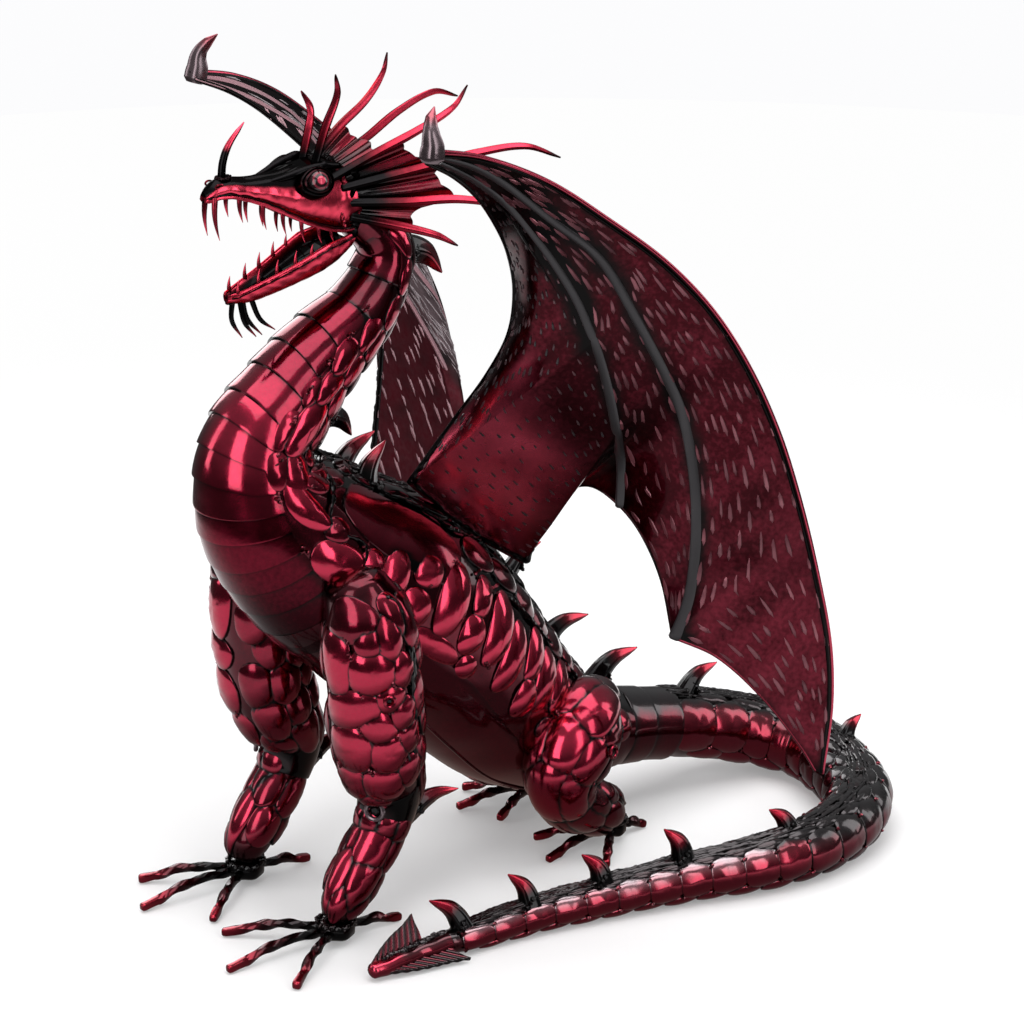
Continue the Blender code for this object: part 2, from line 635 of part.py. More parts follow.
def jaw():
    s = spline([(0.0, y, a, b, w) for y, a, b, w in JAW], 10)
    rings = []
    for p in s:
        top, low, w = p[2], p[3], p[4]
        trough = min(0.007, (top - low) * 0.42)
        ring = [(w * 0.97, p[1], top), (w * 0.80, p[1], top), (w * 0.45, p[1], top - trough), (-w * 0.45, p[1], top - trough),
                (-w * 0.80, p[1], top), (-w * 0.97, p[1], top)]
        for i in range(1, 9):
            a = math.pi + math.pi * i / 9
            ring.append((w * math.cos(a), p[1], top - 0.001 + (top - 0.001 - low) * math.sin(a)))
        rings.append(ring[::-1])
    obj = finish(loft(rings), "jaw", lacquer("jaw_lacquer", BRIGHT, 0.25, 0.7))
    parts = []
    for sign in (1, -1):
        for y, length, radius in LOWER_TEETH:
            lip, w = along(JAW, y, 1), along(JAW, y, 3)
            parts.append(finish(tooth((0.84 * w * sign, y, lip - 0.003), (0.88 * w * sign, y + 0.001, lip + length), radius),
                                f"tooth_low_{sign}_{y}", None))
    return merge(obj, parts)


SKULL_OBJ = skull()
EYES = []
for side_name, sign in (("left", 1), ("right", -1)):
    bm = bmesh.new()
    bmesh.ops.create_uvsphere(bm, u_segments=10, v_segments=7, radius=EYE_R,
                              matrix=Matrix.Translation((EYE[0] * sign, EYE[1], EYE[2])))
    EYES.append(finish(bm, "eye_" + side_name, lacquer(f"eye_{side_name}_gloss", BLACK, 0.06, 0.3)))
for eye in EYES:
    boolean(SKULL_OBJ, inflate(eye))
boolean(SKULL_OBJ, TRUNK_CUT)
settle(SKULL_OBJ)
SKULL_CUT = inflate(SKULL_OBJ)
JAW_OBJ = jaw()
boolean(JAW_OBJ, TRUNK_CUT)
boolean(JAW_OBJ, SKULL_CUT)
settle(JAW_OBJ)
JAW_CUT = inflate(JAW_OBJ)

nose = curve_rod("nose_horn", NOSE_HORN, [0.0036, 0.0034, 0.0032, 0.0007], lacquer("nose_horn_lacquer", BLACK, 0.25, 0.6), 0, 7)
boolean(nose, SKULL_CUT)
settle(nose)
for k, line in enumerate(WHISKERS, 1):
    w = curve_rod(f"chin_whisker_{k}", line, [0.0028, 0.0026, 0.0006], lacquer(f"chin_whisker_{k}_lacquer", BLACK, 0.25, 0.6), 0, 5)
    boolean(w, JAW_CUT)
    settle(w)

# ---------------------------------------------------------------- crest: rods over a ribbed web
ROD_OBJS = {"left": [], "right": []}
for side_name, table in (("left", RODS_LEFT), ("right", RODS_RIGHT)):
    for k, line in enumerate(table, 1):
        n = len(line)
        radii = [ROD_R] * (n - 1) + [0.0008]
        rod = curve_rod(f"crest_rod_{side_name}_{k}", line, radii, lacquer(f"crest_rod_{side_name}_{k}_lacquer", BRIGHT, 0.25, 0.7), 0, 6)
        boolean(rod, SKULL_CUT)
        boolean(rod, SKULL_OBJ)
        boolean(rod, TRUNK_CUT)
        settle(rod)
        ROD_OBJS[side_name].append(rod)


def web(side_name, table, sign):
    """The crest web: a scalloped sheet that hangs between the rods, just inside them."""
    lines = [spline(line, 30) for line in table[1:]]
    reach = WEB_REACH[side_name]
    cols = []
    rods = len(lines)
    for i in range(rods - 1):
        for f in np.linspace(0, 1, 4)[: None if i == rods - 2 else -1]:
            a, b = lines[i], lines[i + 1]
            dip = 1 - (0.10 if i < rods - 2 else 0.22) * math.sin(math.pi * f)
            ext = (reach[i] * (1 - f) + reach[i + 1] * f) * dip
            col = []
            for t in np.linspace(0.02, ext, 6):
                k = t * 29
                pa = np.array([np.interp(k, range(30), a[:, c]) for c in range(3)])
                pb = np.array([np.interp(k, range(30), b[:, c]) for c in range(3)])
                p = pa * (1 - f) + pb * f
                inward = 0.0062 + 0.0016 * math.sin(math.pi * f)
                p = p - np.array([inward * sign, 0, 0])
                col.append(p)
            cols.append(col)
    bm = bmesh.new()
    grid = [[bm.verts.new(Vector(p)) for p in col] for col in cols]
    for a, b in zip(grid[:-1], grid[1:]):
        for j in range(len(a) - 1):
            bm.faces.new((a[j], a[j + 1], b[j + 1], b[j]))
    mesh = bpy.data.meshes.new("crest_web_" + side_name)
    bmesh.ops.recalc_face_normals(bm, faces=bm.faces)
    bm.to_mesh(mesh)
    bm.free()
    mesh.materials.append(lacquer(f"crest_web_{side_name}_lacquer", DARK, 0.25, 0.8))
    obj = bpy.data.objects.new("crest_web_" + side_name, mesh)
    STATUE.objects.link(obj)
    thick = obj.modifiers.new("sheet", "SOLIDIFY")
    thick.thickness = WEB_SHEET
    thick.offset = 0.0
    settle(obj, False)
    for cutter in [SKULL_CUT, SKULL_OBJ, TRUNK_CUT] + [inflate(r) for r in ROD_OBJS[side_name]]:
        boolean(obj, cutter)
        settle(obj)
    return obj


web("left", RODS_LEFT, 1)
web("right", RODS_RIGHT, -1)


# ---------------------------------------------------------------- wings
def wing(side_name, sign):
    rows, cols = 28, 6
    # how far along the leading edge each corner of the inner outline looks: shoulder, rear root, arch top, cusp
    share = np.interp(range(rows + 1), [0, 6, 8, 9.5, 11, 14, 18, 22, rows],
                      [0.0, 0.16, 0.24, 0.30, 0.33, 0.38, 0.50, 0.68, 1.0])
    fine = spline(WING_LEAD, 401)
    lead = np.stack([np.interp(share * 400, range(401), fine[:, c]) for c in range(3)], axis=1)
    front = spline(WING_FRONT, 12)
    if sign < 0:
        # the right wing's front edge sits higher near the claw
        front[:, 2] += 0.008 * np.exp(-((front[:, 2] - 0.770) / 0.035)**2)
    root = spline([front[-1], WING_ROOT_MID, WING_REAR_ROOT], 4)
    arch = spline(WING_ARCH, 9)
    trail = spline(WING_TRAIL, 7)
    inner = np.concatenate([front, root[1:], arch[1:], trail[1:]])
    assert len(inner) == rows + 1
    bm = bmesh.new()
    grid = []
    for i in range(rows + 1):
        row = []
        for j in range(cols + 1):
            f = j / cols
            p = lead[i] * (1 - f) + inner[i] * f
            camber = 0.012 * sign * math.sin(math.pi * f) * math.sin(math.pi * i / rows)     # each sheet bows its own way
            row.append((sign * (p[0] + camber * 0.7), p[1] - camber * 0.7, p[2]))
        grid.append(row)
    verts = [[bm.verts.new(Vector(p)) for p in row] for row in grid]
    for a, b in zip(verts[:-1], verts[1:]):
        for j in range(cols):
            bm.faces.new((a[j], b[j], b[j + 1], a[j + 1]))
    bmesh.ops.remove_doubles(bm, verts=bm.verts, dist=1e-5)
    bmesh.ops.dissolve_degenerate(bm, edges=bm.edges, dist=1e-6)
    bmesh.ops.recalc_face_normals(bm, faces=bm.faces)
    mesh = bpy.data.meshes.new("wing_" + side_name)
    bm.to_mesh(mesh)
    bm.free()
    mesh.materials.append(lacquer(f"wing_{side_name}_lacquer", DARK, 0.3, 0.8))
    obj = bpy.data.objects.new("wing_" + side_name, mesh)
    STATUE.objects.link(obj)
    thick = obj.modifiers.new("sheet", "SOLIDIFY")
    thick.thickness = WING_SHEET
    thick.offset = 0.0
    settle(obj, False)
    boolean(obj, TRUNK_CUT)
    settle(obj)
    return obj


for side_name, sign in (("left", 1), ("right", -1)):
    wing_obj = wing(side_name, sign)
    lean = {"base": 0.0, "mid": 0.004, "tip": 0.009} if sign < 0 else {"base": 0.0, "mid": 0.0, "tip": 0.0}
    pts = [(CLAW[k][0] * sign, CLAW[k][1] + lean[k], CLAW[k][2]) for k in ("base", "mid", "tip")]
    claw = curve_rod("wing_claw_" + side_name, pts, [CLAW["r"], CLAW["r"] * 0.62, 0.0012],
                     lacquer(f"wing_claw_{side_name}_lacquer", DARK, 0.22, 0.8), 1, 5)
    boolean(claw, inflate(wing_obj))
    settle(claw)

# ---------------------------------------------------------------- horns
for name, base, tip, radius in HORNS:
    b, t = np.array(base), np.array(tip)
    axis = t - b
    bend = HORN_BEND.get(name, (0.0, 0.0, 1.0))
    hook = np.array(bend) - axis * ((axis @ np.array(bend)) / (axis @ axis))
    hook /= np.linalg.norm(hook)
    mid = (b + t) / 2 + hook * np.linalg.norm(axis) * 0.15
    horn = curve_rod(name, [tuple(b), tuple(mid), tuple(t)], [radius, radius * 0.62, 0.0009],
                     lacquer(name + "_lacquer", DARK, 0.22, 0.8), 1, 4)
    host = TAIL_CUT if name.startswith("tail_") else TRUNK_CUT
    if name.startswith("elbow_"):
        host = LEG_CUTS["front_leg_" + name.split("_")[-1]]
    boolean(horn, host)
    if name == "rump_horn":
        boolean(horn, TAIL_CUT)
    settle(horn)


# ---------------------------------------------------------------- arrowhead at the tail's end
def tail_spade():
    """The arrowhead: a folded leaf of sheet on the tail's end, one lobe up, the other leaning on the ground."""
    nose = np.array([0.1718, 0.0640, 0.0090])
    heels = {1: np.array([0.1710, 0.1290, 0.0150]), -1: np.array([0.1710, 0.1440, 0.0150])}
    barbs = {1: np.array([0.1490, 0.1285, 0.0430]), -1: np.array([0.1988, 0.1635, 0.0045])}
    obj = limb("tail_spade", TAIL_END, 10, lacquer("tail_spade_lacquer", RED, 0.22, 0.8), 7, (0.0, 0.005), flat_side)
    lobes = []
    for key, barb in barbs.items():
        bm = bmesh.new()
        heel = heels[key]
        rows = []
        for f in np.linspace(0.0, 1.0, 7):
            centre = nose * (1 - f) + heel * f
            edge = nose * (1 - f) + barb * f
            side = (barb - heel) / np.linalg.norm(barb - heel)
            edge = edge + side * (0.0035 * math.sin(math.pi * min(1.0, f * 1.25)) + 0.0040 * (1 - f))
            rows.append([bm.verts.new(Vector(centre * (1 - g) + edge * g)) for g in (0.0, 0.5, 1.0)])
        for p, q in zip(rows[:-1], rows[1:]):
            for j in range(2):
                bm.faces.new((p[j], q[j], q[j + 1], p[j + 1]))
        mesh = bpy.data.meshes.new(f"lobe_{key}")
        bmesh.ops.recalc_face_normals(bm, faces=bm.faces)
        bm.to_mesh(mesh)
        bm.free()
        lobe = bpy.data.objects.new(f"lobe_{key}", mesh)
        STATUE.objects.link(lobe)
        thick = lobe.modifiers.new("sheet", "SOLIDIFY")
        thick.thickness = 0.0034
        thick.offset = 0.0
        settle(lobe, False)
        lobes.append(lobe)
    merge(obj, lobes)
    boolean(obj, TAIL_CUT)
    settle(obj)
    return obj


tail_spade()

# ---------------------------------------------------------------- origin under the middle of the box
bpy.context.view_layer.update()
low, high = np.full(3, np.inf), np.full(3, -np.inf)
for obj in STATUE.objects:
    co = np.array([tuple(v.co) for v in obj.data.vertices])
    low, high = np.minimum(low, co.min(0)), np.maximum(high, co.max(0))
shift = Matrix.Translation((-(low[0] + high[0]) / 2, -(low[1] + high[1]) / 2, -low[2]))
for obj in STATUE.objects:
    obj.data.transform(shift)
for obj in list(CUTTERS.objects):
    bpy.data.objects.remove(obj, do_unlink=True)
print("shift", [round(v, 6) for v in shift.translation], "low", low, "high", high)
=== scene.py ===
"""Looks of the metal dragon garden statue: candy-red lacquered sheet steel with soot-black airbrush shading, and in
places painted shade and painted highlights.
"""
import math

import bmesh
import bpy
import numpy as np
from mathutils import Matrix, Vector


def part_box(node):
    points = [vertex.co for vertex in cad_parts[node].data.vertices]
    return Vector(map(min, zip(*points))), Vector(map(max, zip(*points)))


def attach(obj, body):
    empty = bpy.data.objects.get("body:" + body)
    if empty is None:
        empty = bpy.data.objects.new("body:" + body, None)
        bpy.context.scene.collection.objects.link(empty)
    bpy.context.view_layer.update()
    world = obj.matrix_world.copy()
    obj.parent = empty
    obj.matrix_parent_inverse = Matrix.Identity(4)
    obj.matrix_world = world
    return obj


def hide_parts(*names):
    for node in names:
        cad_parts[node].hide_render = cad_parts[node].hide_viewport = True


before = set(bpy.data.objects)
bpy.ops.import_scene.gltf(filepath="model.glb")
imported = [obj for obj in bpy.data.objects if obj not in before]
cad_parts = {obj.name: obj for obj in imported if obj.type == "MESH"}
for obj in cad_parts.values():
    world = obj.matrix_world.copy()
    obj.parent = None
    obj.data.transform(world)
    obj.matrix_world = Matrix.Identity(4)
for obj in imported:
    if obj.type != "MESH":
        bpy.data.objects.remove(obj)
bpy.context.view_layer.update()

# ---------------------------------------------------------------- driving sizes, as in the CAD
GAP = 0.0004            # clearance between welded neighbours
BAR = 0.0082            # side of the square bar that the toes are forged from
TOE_TURNS = 62.0        # twist of the toe bars, radians per metre
BACK_TOE_RISE = 0.0125
WING_SHEET = 0.0022     # wing sheet thickness
WEB_SHEET = 0.0020      # crest web sheet thickness
EYE_R = 0.0125
EYE = (0.0285, 0.117, 0.7455)
BODY_SIDES = 16
LEG_SIDES = 11
TAIL_SIDES = 10

# spine of neck and trunk: y, z, half height, half width
SPINE = [
    (0.176, 0.702, 0.022, 0.022),
    (0.208, 0.668, 0.0250, 0.0275),
    (0.2065, 0.643, 0.0275, 0.0300),
    (0.181, 0.606, 0.0335, 0.0335),
    (0.146, 0.578, 0.040, 0.040),
    (0.115, 0.553, 0.044, 0.044),
    (0.090, 0.527, 0.048, 0.048),
    (0.067, 0.500, 0.053, 0.051),
    (0.062, 0.470, 0.061, 0.057),
    (0.079, 0.426, 0.077, 0.067),
    (0.126, 0.372, 0.091, 0.078),
    (0.190, 0.323, 0.101, 0.085),
    (0.254, 0.263, 0.101, 0.087),
    (0.306, 0.203, 0.092, 0.083),
    (0.355, 0.1510, 0.0825, 0.075),
    (0.413, 0.1115, 0.0655, 0.062),
    (0.470, 0.096, 0.047, 0.047),
    (0.500, 0.091, 0.041, 0.041),
]

# tail centre line and radius: x, y, z, r. It lies on the ground from the loop on.
TAIL = [
    (0.000, 0.490, 0.0925, 0.0420),
    (0.000, 0.545, 0.081, 0.0375),
    (0.002, 0.615, 0.062, 0.0365),
    (0.020, 0.678, 0.043, 0.0355),
    (0.063, 0.708, 0.035, 0.0350),
    (0.131, 0.698, 0.034, 0.0340),
    (0.190, 0.672, 0.033, 0.0330),
    (0.228, 0.628, 0.031, 0.0310),
    (0.246, 0.570, 0.029, 0.0290),
    (0.245, 0.517, 0.027, 0.0270),
    (0.235, 0.472, 0.0245, 0.0245),
    (0.221, 0.430, 0.0225, 0.0225),
    (0.207, 0.377, 0.0210, 0.0205),
    (0.195, 0.323, 0.0190, 0.0185),
    (0.182, 0.259, 0.0170, 0.0165),
    (0.175, 0.192, 0.0140, 0.0140),
    (0.171, 0.156, 0.0130, 0.0125),
]
# the last stretch of the tail, forged in one with its arrowhead: x, y, z, r
TAIL_END = [
    (0.1710, 0.1550, 0.0130, 0.0122),
    (0.1710, 0.1300, 0.0125, 0.0105),
    (0.1715, 0.1050, 0.0115, 0.0090),
    (0.1720, 0.0820, 0.0105, 0.0085),
    (0.1720, 0.0690, 0.0098, 0.0078),
]

# legs: x, y, z, r from the shoulder or hip down to the ankle
FRONT_LEG = [
    (0.080, 0.118, 0.362, 0.0360),
    (0.086, 0.124, 0.338, 0.0430),
    (0.088, 0.127, 0.303, 0.0475),
    (0.088, 0.130, 0.262, 0.0478),
    (0.087, 0.133, 0.219, 0.0475),
    (0.085, 0.140, 0.176, 0.0435),
    (0.084, 0.149, 0.142, 0.0340),
    (0.083, 0.137, 0.103, 0.0290),
    (0.082, 0.111, 0.066, 0.0300),
    (0.082, 0.092, 0.038, 0.0280),
    (0.082, 0.087, 0.026, 0.0225),
]
RIGHT_LEG_FORWARD = (0.007, 0.014)    # the right front leg stands a little further forward: shin, shoulder
REAR_LEG = [
    (0.052, 0.432, 0.158, 0.0260),
    (0.060, 0.414, 0.152, 0.0370),
    (0.068, 0.392, 0.137, 0.0440),
    (0.075, 0.374, 0.115, 0.0422),
    (0.077, 0.367, 0.090, 0.0345),
    (0.075, 0.378, 0.070, 0.0290),
    (0.071, 0.404, 0.052, 0.0270),
    (0.067, 0.430, 0.038, 0.0225),
    (0.065, 0.442, 0.028, 0.0160),
]

# feet: ankle, three front toe tips and one back toe tip on the ground
FEET_PLAN = {
    "front_foot_left": dict(ankle=(0.082, 0.086), toes=[(0.008, 0.001), (0.077, -0.036), (0.144, -0.002)],
                            back=(0.084, 0.161), hub=0.0190, rise=0.0165),
    "front_foot_right": dict(ankle=(-0.082, 0.086), toes=[(-0.020, 0.007), (-0.084, -0.036), (-0.141, -0.005)],
                             back=(-0.080, 0.161), hub=0.0190, rise=0.0165),
    "rear_foot_left": dict(ankle=(0.065, 0.444), toes=[(0.021, 0.374), (0.072, 0.353), (0.117, 0.394)],
                           back=(0.064, 0.488), hub=0.0145, rise=0.0155),
    "rear_foot_right": dict(ankle=(-0.065, 0.444), toes=[(-0.036, 0.371), (-0.086, 0.353), (-0.123, 0.387)],
                            back=(-0.066, 0.488), hub=0.0145, rise=0.0155),
}

# skull side view: y, top z, lip z, half width
SKULL = [
    (0.0125, 0.7460, 0.7365, 0.0055),
    (0.0170, 0.7505, 0.7375, 0.0085),
    (0.0250, 0.7560, 0.7395, 0.0108),
    (0.0380, 0.7565, 0.7385, 0.0128),
    (0.0550, 0.7542, 0.7330, 0.0150),
    (0.0730, 0.7535, 0.7255, 0.0185),
    (0.0910, 0.7535, 0.7155, 0.0225),
    (0.1100, 0.7570, 0.7050, 0.0262),
    (0.1300, 0.7600, 0.6965, 0.0285),
    (0.1480, 0.7580, 0.6920, 0.0285),
    (0.1640, 0.7480, 0.6910, 0.0260),
    (0.1780, 0.7320, 0.6960, 0.0200),
]
# lower jaw side view: y, lip z, underside z, half width
JAW = [
    (0.0330, 0.6460, 0.6385, 0.0045),
    (0.0410, 0.6475, 0.6365, 0.0088),
    (0.0580, 0.6535, 0.6355, 0.0128),
    (0.0800, 0.6615, 0.6390, 0.0180),
    (0.1050, 0.6718, 0.6450, 0.0240),
    (0.1310, 0.6835, 0.6520, 0.0280),
    (0.1480, 0.6870, 0.6600, 0.0272),
    (0.1620, 0.6895, 0.6700, 0.0235),
]
UPPER_TEETH = [(0.020, 0.036, 0.0036), (0.044, 0.021, 0.0032), (0.067, 0.022, 0.0030), (0.086, 0.020, 0.0029),
               (0.104, 0.019, 0.0028), (0.121, 0.014, 0.0026), (0.134, 0.010, 0.0022)]
LOWER_TEETH = [(0.042, 0.013, 0.0026), (0.062, 0.014, 0.0026), (0.080, 0.014, 0.0026), (0.098, 0.013, 0.0025),
               (0.114, 0.010, 0.0023)]

# wing outline. Leading edge from the thumb claw back and down to the tip: x, y, z
WING_LEAD = [
    (0.197, 0.121, 0.808),
    (0.205, 0.176, 0.796),
    (0.222, 0.235, 0.769),
    (0.236, 0.294, 0.727),
    (0.250, 0.352, 0.680),
    (0.264, 0.396, 0.630),
    (0.273, 0.434, 0.571),
    (0.277, 0.470, 0.500),
    (0.284, 0.494, 0.427),
    (0.290, 0.514, 0.350),
    (0.292, 0.532, 0.272),
    (0.293, 0.536, 0.205),
    (0.290, 0.530, 0.133),
]
# front edge from the claw down to the shoulder
WING_FRONT = [
    (0.192, 0.125, 0.796),
    (0.184, 0.158, 0.778),
    (0.168, 0.196, 0.750),
    (0.148, 0.231, 0.716),
    (0.134, 0.257, 0.680),
    (0.124, 0.272, 0.638),
    (0.108, 0.277, 0.590),
    (0.087, 0.266, 0.545),
    (0.064, 0.246, 0.501),
    (0.030, 0.213, 0.432),
]
WING_ROOT_MID = (0.030, 0.283, 0.367)
WING_REAR_ROOT = (0.040, 0.345, 0.322)
# lower edge: the open arch behind the body, the cusp at the middle rib, then out to the tip
WING_ARCH = [
    (0.040, 0.345, 0.322),
    (0.057, 0.356, 0.373),
    (0.078, 0.366, 0.404),
    (0.104, 0.379, 0.415),
    (0.134, 0.390, 0.402),
    (0.162, 0.397, 0.378),
    (0.184, 0.405, 0.335),
    (0.202, 0.406, 0.280),
]
WING_TRAIL = [
    (0.202, 0.406, 0.280),
    (0.236, 0.434, 0.264),
    (0.262, 0.470, 0.222),
    (0.280, 0.505, 0.169),
    (0.286, 0.523, 0.137),
]
CLAW = dict(base=(0.197, 0.127, 0.800), mid=(0.196, 0.130, 0.823), tip=(0.186, 0.138, 0.843), r=0.0118)

# crest rods, each as points from the skull outwards
RODS_LEFT = [
    [(0.014, 0.122, 0.752), (0.020, 0.133, 0.793), (0.027, 0.142, 0.824), (0.031, 0.138, 0.8436)],
    [(0.024, 0.132, 0.744), (0.037, 0.175, 0.7655), (0.050, 0.214, 0.784), (0.061, 0.248, 0.804), (0.067, 0.260, 0.824)],
    [(0.026, 0.146, 0.735), (0.051, 0.225, 0.749), (0.066, 0.272, 0.758), (0.079, 0.318, 0.760), (0.089, 0.352, 0.746)],
    [(0.026, 0.154, 0.720), (0.045, 0.204, 0.717), (0.062, 0.250, 0.716), (0.078, 0.288, 0.708), (0.086, 0.309, 0.697)],
    [(0.025, 0.156, 0.706), (0.038, 0.197, 0.694), (0.052, 0.233, 0.682), (0.060, 0.253, 0.670)],
]
RODS_RIGHT = [
    [(-0.014, 0.126, 0.748), (-0.020, 0.140, 0.781), (-0.026, 0.147, 0.800), (-0.030, 0.140, 0.817)],
    [(-0.020, 0.135, 0.746), (-0.037, 0.186, 0.775), (-0.051, 0.227, 0.793), (-0.062, 0.254, 0.813), (-0.066, 0.262, 0.831)],
    [(-0.022, 0.146, 0.740), (-0.044, 0.219, 0.757), (-0.062, 0.272, 0.774), (-0.078, 0.324, 0.7825), (-0.089, 0.361, 0.771)],
    [(-0.026, 0.154, 0.724), (-0.045, 0.206, 0.724), (-0.062, 0.250, 0.722), (-0.078, 0.288, 0.714), (-0.086, 0.309, 0.703)],
    [(-0.025, 0.156, 0.708), (-0.038, 0.197, 0.697), (-0.052, 0.233, 0.686), (-0.060, 0.253, 0.674)],
]
ROD_R = 0.0034
WEB_REACH = {"left": [0.50, 0.44, 0.63, 0.60], "right": [0.40, 0.34, 0.60, 0.60]}   # how far out the web goes along each rod

# horns welded along the back: name, base point, tip point, base radius
HORNS = [
    ("nape_horn", (0.000, 0.220, 0.659), (0.000, 0.277, 0.626), 0.0140),
    ("neck_horn", (0.000, 0.130, 0.512), (0.000, 0.169, 0.4825), 0.0115),
    ("shoulder_horn_right", (-0.024, 0.163, 0.424), (-0.027, 0.214, 0.470), 0.0125),
    ("shoulder_horn_left", (0.024, 0.167, 0.426), (0.027, 0.190, 0.480), 0.0125),
    ("back_horn", (0.000, 0.360, 0.300), (0.000, 0.398, 0.321), 0.0085),
    ("loin_horn", (0.000, 0.396, 0.206), (0.000, 0.460, 0.2265), 0.0110),
    ("rump_horn", (0.000, 0.464, 0.144), (0.000, 0.526, 0.173), 0.0120),
    ("tail_horn_1", (0.000, 0.590, 0.100), (0.000, 0.637, 0.128), 0.0108),
    ("tail_horn_2", (0.124, 0.712, 0.057), (0.121, 0.738, 0.083), 0.0100),
    ("tail_horn_3", (0.244, 0.533, 0.047), (0.230, 0.514, 0.075), 0.0110),
    ("tail_horn_4", (0.217, 0.414, 0.038), (0.208, 0.395, 0.079), 0.0115),
    ("tail_horn_5", (0.198, 0.327, 0.032), (0.188, 0.307, 0.069), 0.0110),
    ("tail_horn_6", (0.184, 0.248, 0.026), (0.171, 0.229, 0.064), 0.0105),
    ("tail_horn_7", (0.173, 0.176, 0.018), (0.158, 0.144, 0.056), 0.0105),
    ("elbow_horn_left", (0.086, 0.172, 0.112), (0.090, 0.228, 0.1265), 0.0105),
    ("elbow_horn_right", (-0.086, 0.168, 0.109), (-0.090, 0.222, 0.123), 0.0105),
]
# horns bow upwards, those of the straight run of the tail bow backwards
HORN_BEND = {"tail_horn_3": (0.2, 1.0, 0.0), "tail_horn_4": (0.2, 1.0, 0.0), "tail_horn_5": (0.2, 1.0, 0.0),
             "tail_horn_6": (0.2, 1.0, 0.0), "tail_horn_7": (0.2, 1.0, 0.0), "shoulder_horn_left": (0.0, -1.0, 0.0)}
WHISKERS = [
    ((0.000, 0.040, 0.640), (-0.002, 0.040, 0.620), (-0.001, 0.050, 0.602)),
    ((0.003, 0.046, 0.640), (0.004, 0.050, 0.618), (0.004, 0.062, 0.602)),
    ((-0.003, 0.052, 0.640), (-0.004, 0.058, 0.618), (-0.003, 0.073, 0.600)),
    ((0.003, 0.058, 0.640), (0.004, 0.067, 0.618), (0.004, 0.083, 0.605)),
]
NOSE_HORN = [(0.000, 0.032, 0.748), (0.000, 0.034, 0.770), (0.000, 0.041, 0.786), (0.000, 0.058, 0.805)]

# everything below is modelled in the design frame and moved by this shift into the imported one
_lo, _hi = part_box("eye_left")
SHIFT = np.array([(_lo[k] + _hi[k]) / 2 - EYE[k] for k in range(3)])
SHIFT[0] = -0.000064
SHIFT[2] = 0.0

TAU = 2 * math.pi


# ---------------------------------------------------------------- curves
def spline(stations, count):
    """Smooth curve through the stations, sampled at even arc length."""
    p = np.array(stations, float)
    dim = min(3, p.shape[1])
    t = np.concatenate(([0.0], np.cumsum(np.linalg.norm(np.diff(p[:, :dim], axis=0), axis=1))))
    m = np.zeros_like(p)
    m[1:-1] = (p[2:] - p[:-2]) / (t[2:] - t[:-2])[:, None]
    m[0] = (p[1] - p[0]) / (t[1] - t[0])
    m[-1] = (p[-1] - p[-2]) / (t[-1] - t[-2])

    def at(u):
        u = np.asarray(u, float)
        k = np.clip(np.searchsorted(t, u, side="right") - 1, 0, len(t) - 2)
        h = (t[k + 1] - t[k])[:, None]
        s = ((u - t[k])[:, None]) / h
        return ((2 * s**3 - 3 * s**2 + 1) * p[k] + (s**3 - 2 * s**2 + s) * h * m[k]
                + (-2 * s**3 + 3 * s**2) * p[k + 1] + (s**3 - s**2) * h * m[k + 1])

    fine = at(np.linspace(0, t[-1], 600))
    arc = np.concatenate(([0.0], np.cumsum(np.linalg.norm(np.diff(fine[:, :dim], axis=0), axis=1))))
    want = np.linspace(0, arc[-1], count)
    return np.stack([np.interp(want, arc, fine[:, c]) for c in range(p.shape[1])], axis=1)


def frames(path, side=(1.0, 0.0, 0.0)):
    """Tangent, side and dorsal direction at each point of a path."""
    path = np.asarray(path, float)
    tangent = np.gradient(path, axis=0)
    tangent /= np.linalg.norm(tangent, axis=1)[:, None]
    if callable(side):
        ref = np.array([side(v) for v in tangent])
    else:
        ref = np.tile(np.array(side, float), (len(path), 1))
    across = ref - (ref * tangent).sum(1)[:, None] * tangent
    across /= np.linalg.norm(across, axis=1)[:, None]
    return tangent, across, np.cross(across, tangent)


def flat_side(tangent):
    v = np.cross(tangent, (0.0, 0.0, 1.0))
    return v / np.linalg.norm(v)


def wobble(P, size, seed, octaves=1):
    """Smooth noise of about -1..1 at points P, with features of the given size."""
    P = np.asarray(P, float)
    rng = np.random.default_rng(seed)
    out = np.zeros(P.shape[:-1])
    for o in range(octaves):
        part = np.zeros(P.shape[:-1])
        for _ in range(6):
            d = rng.normal(size=3)
            d /= np.linalg.norm(d)
            part += np.sin((P @ d) * (TAU / size * 2**o * rng.uniform(0.6, 1.4)) + rng.uniform(0, TAU))
        out += part / 2.6 / 1.9**o
    return out


def smooth(x, a, b):
    t = np.clip((np.asarray(x, float) - a) / (b - a), 0, 1)
    return t * t * (3 - 2 * t)


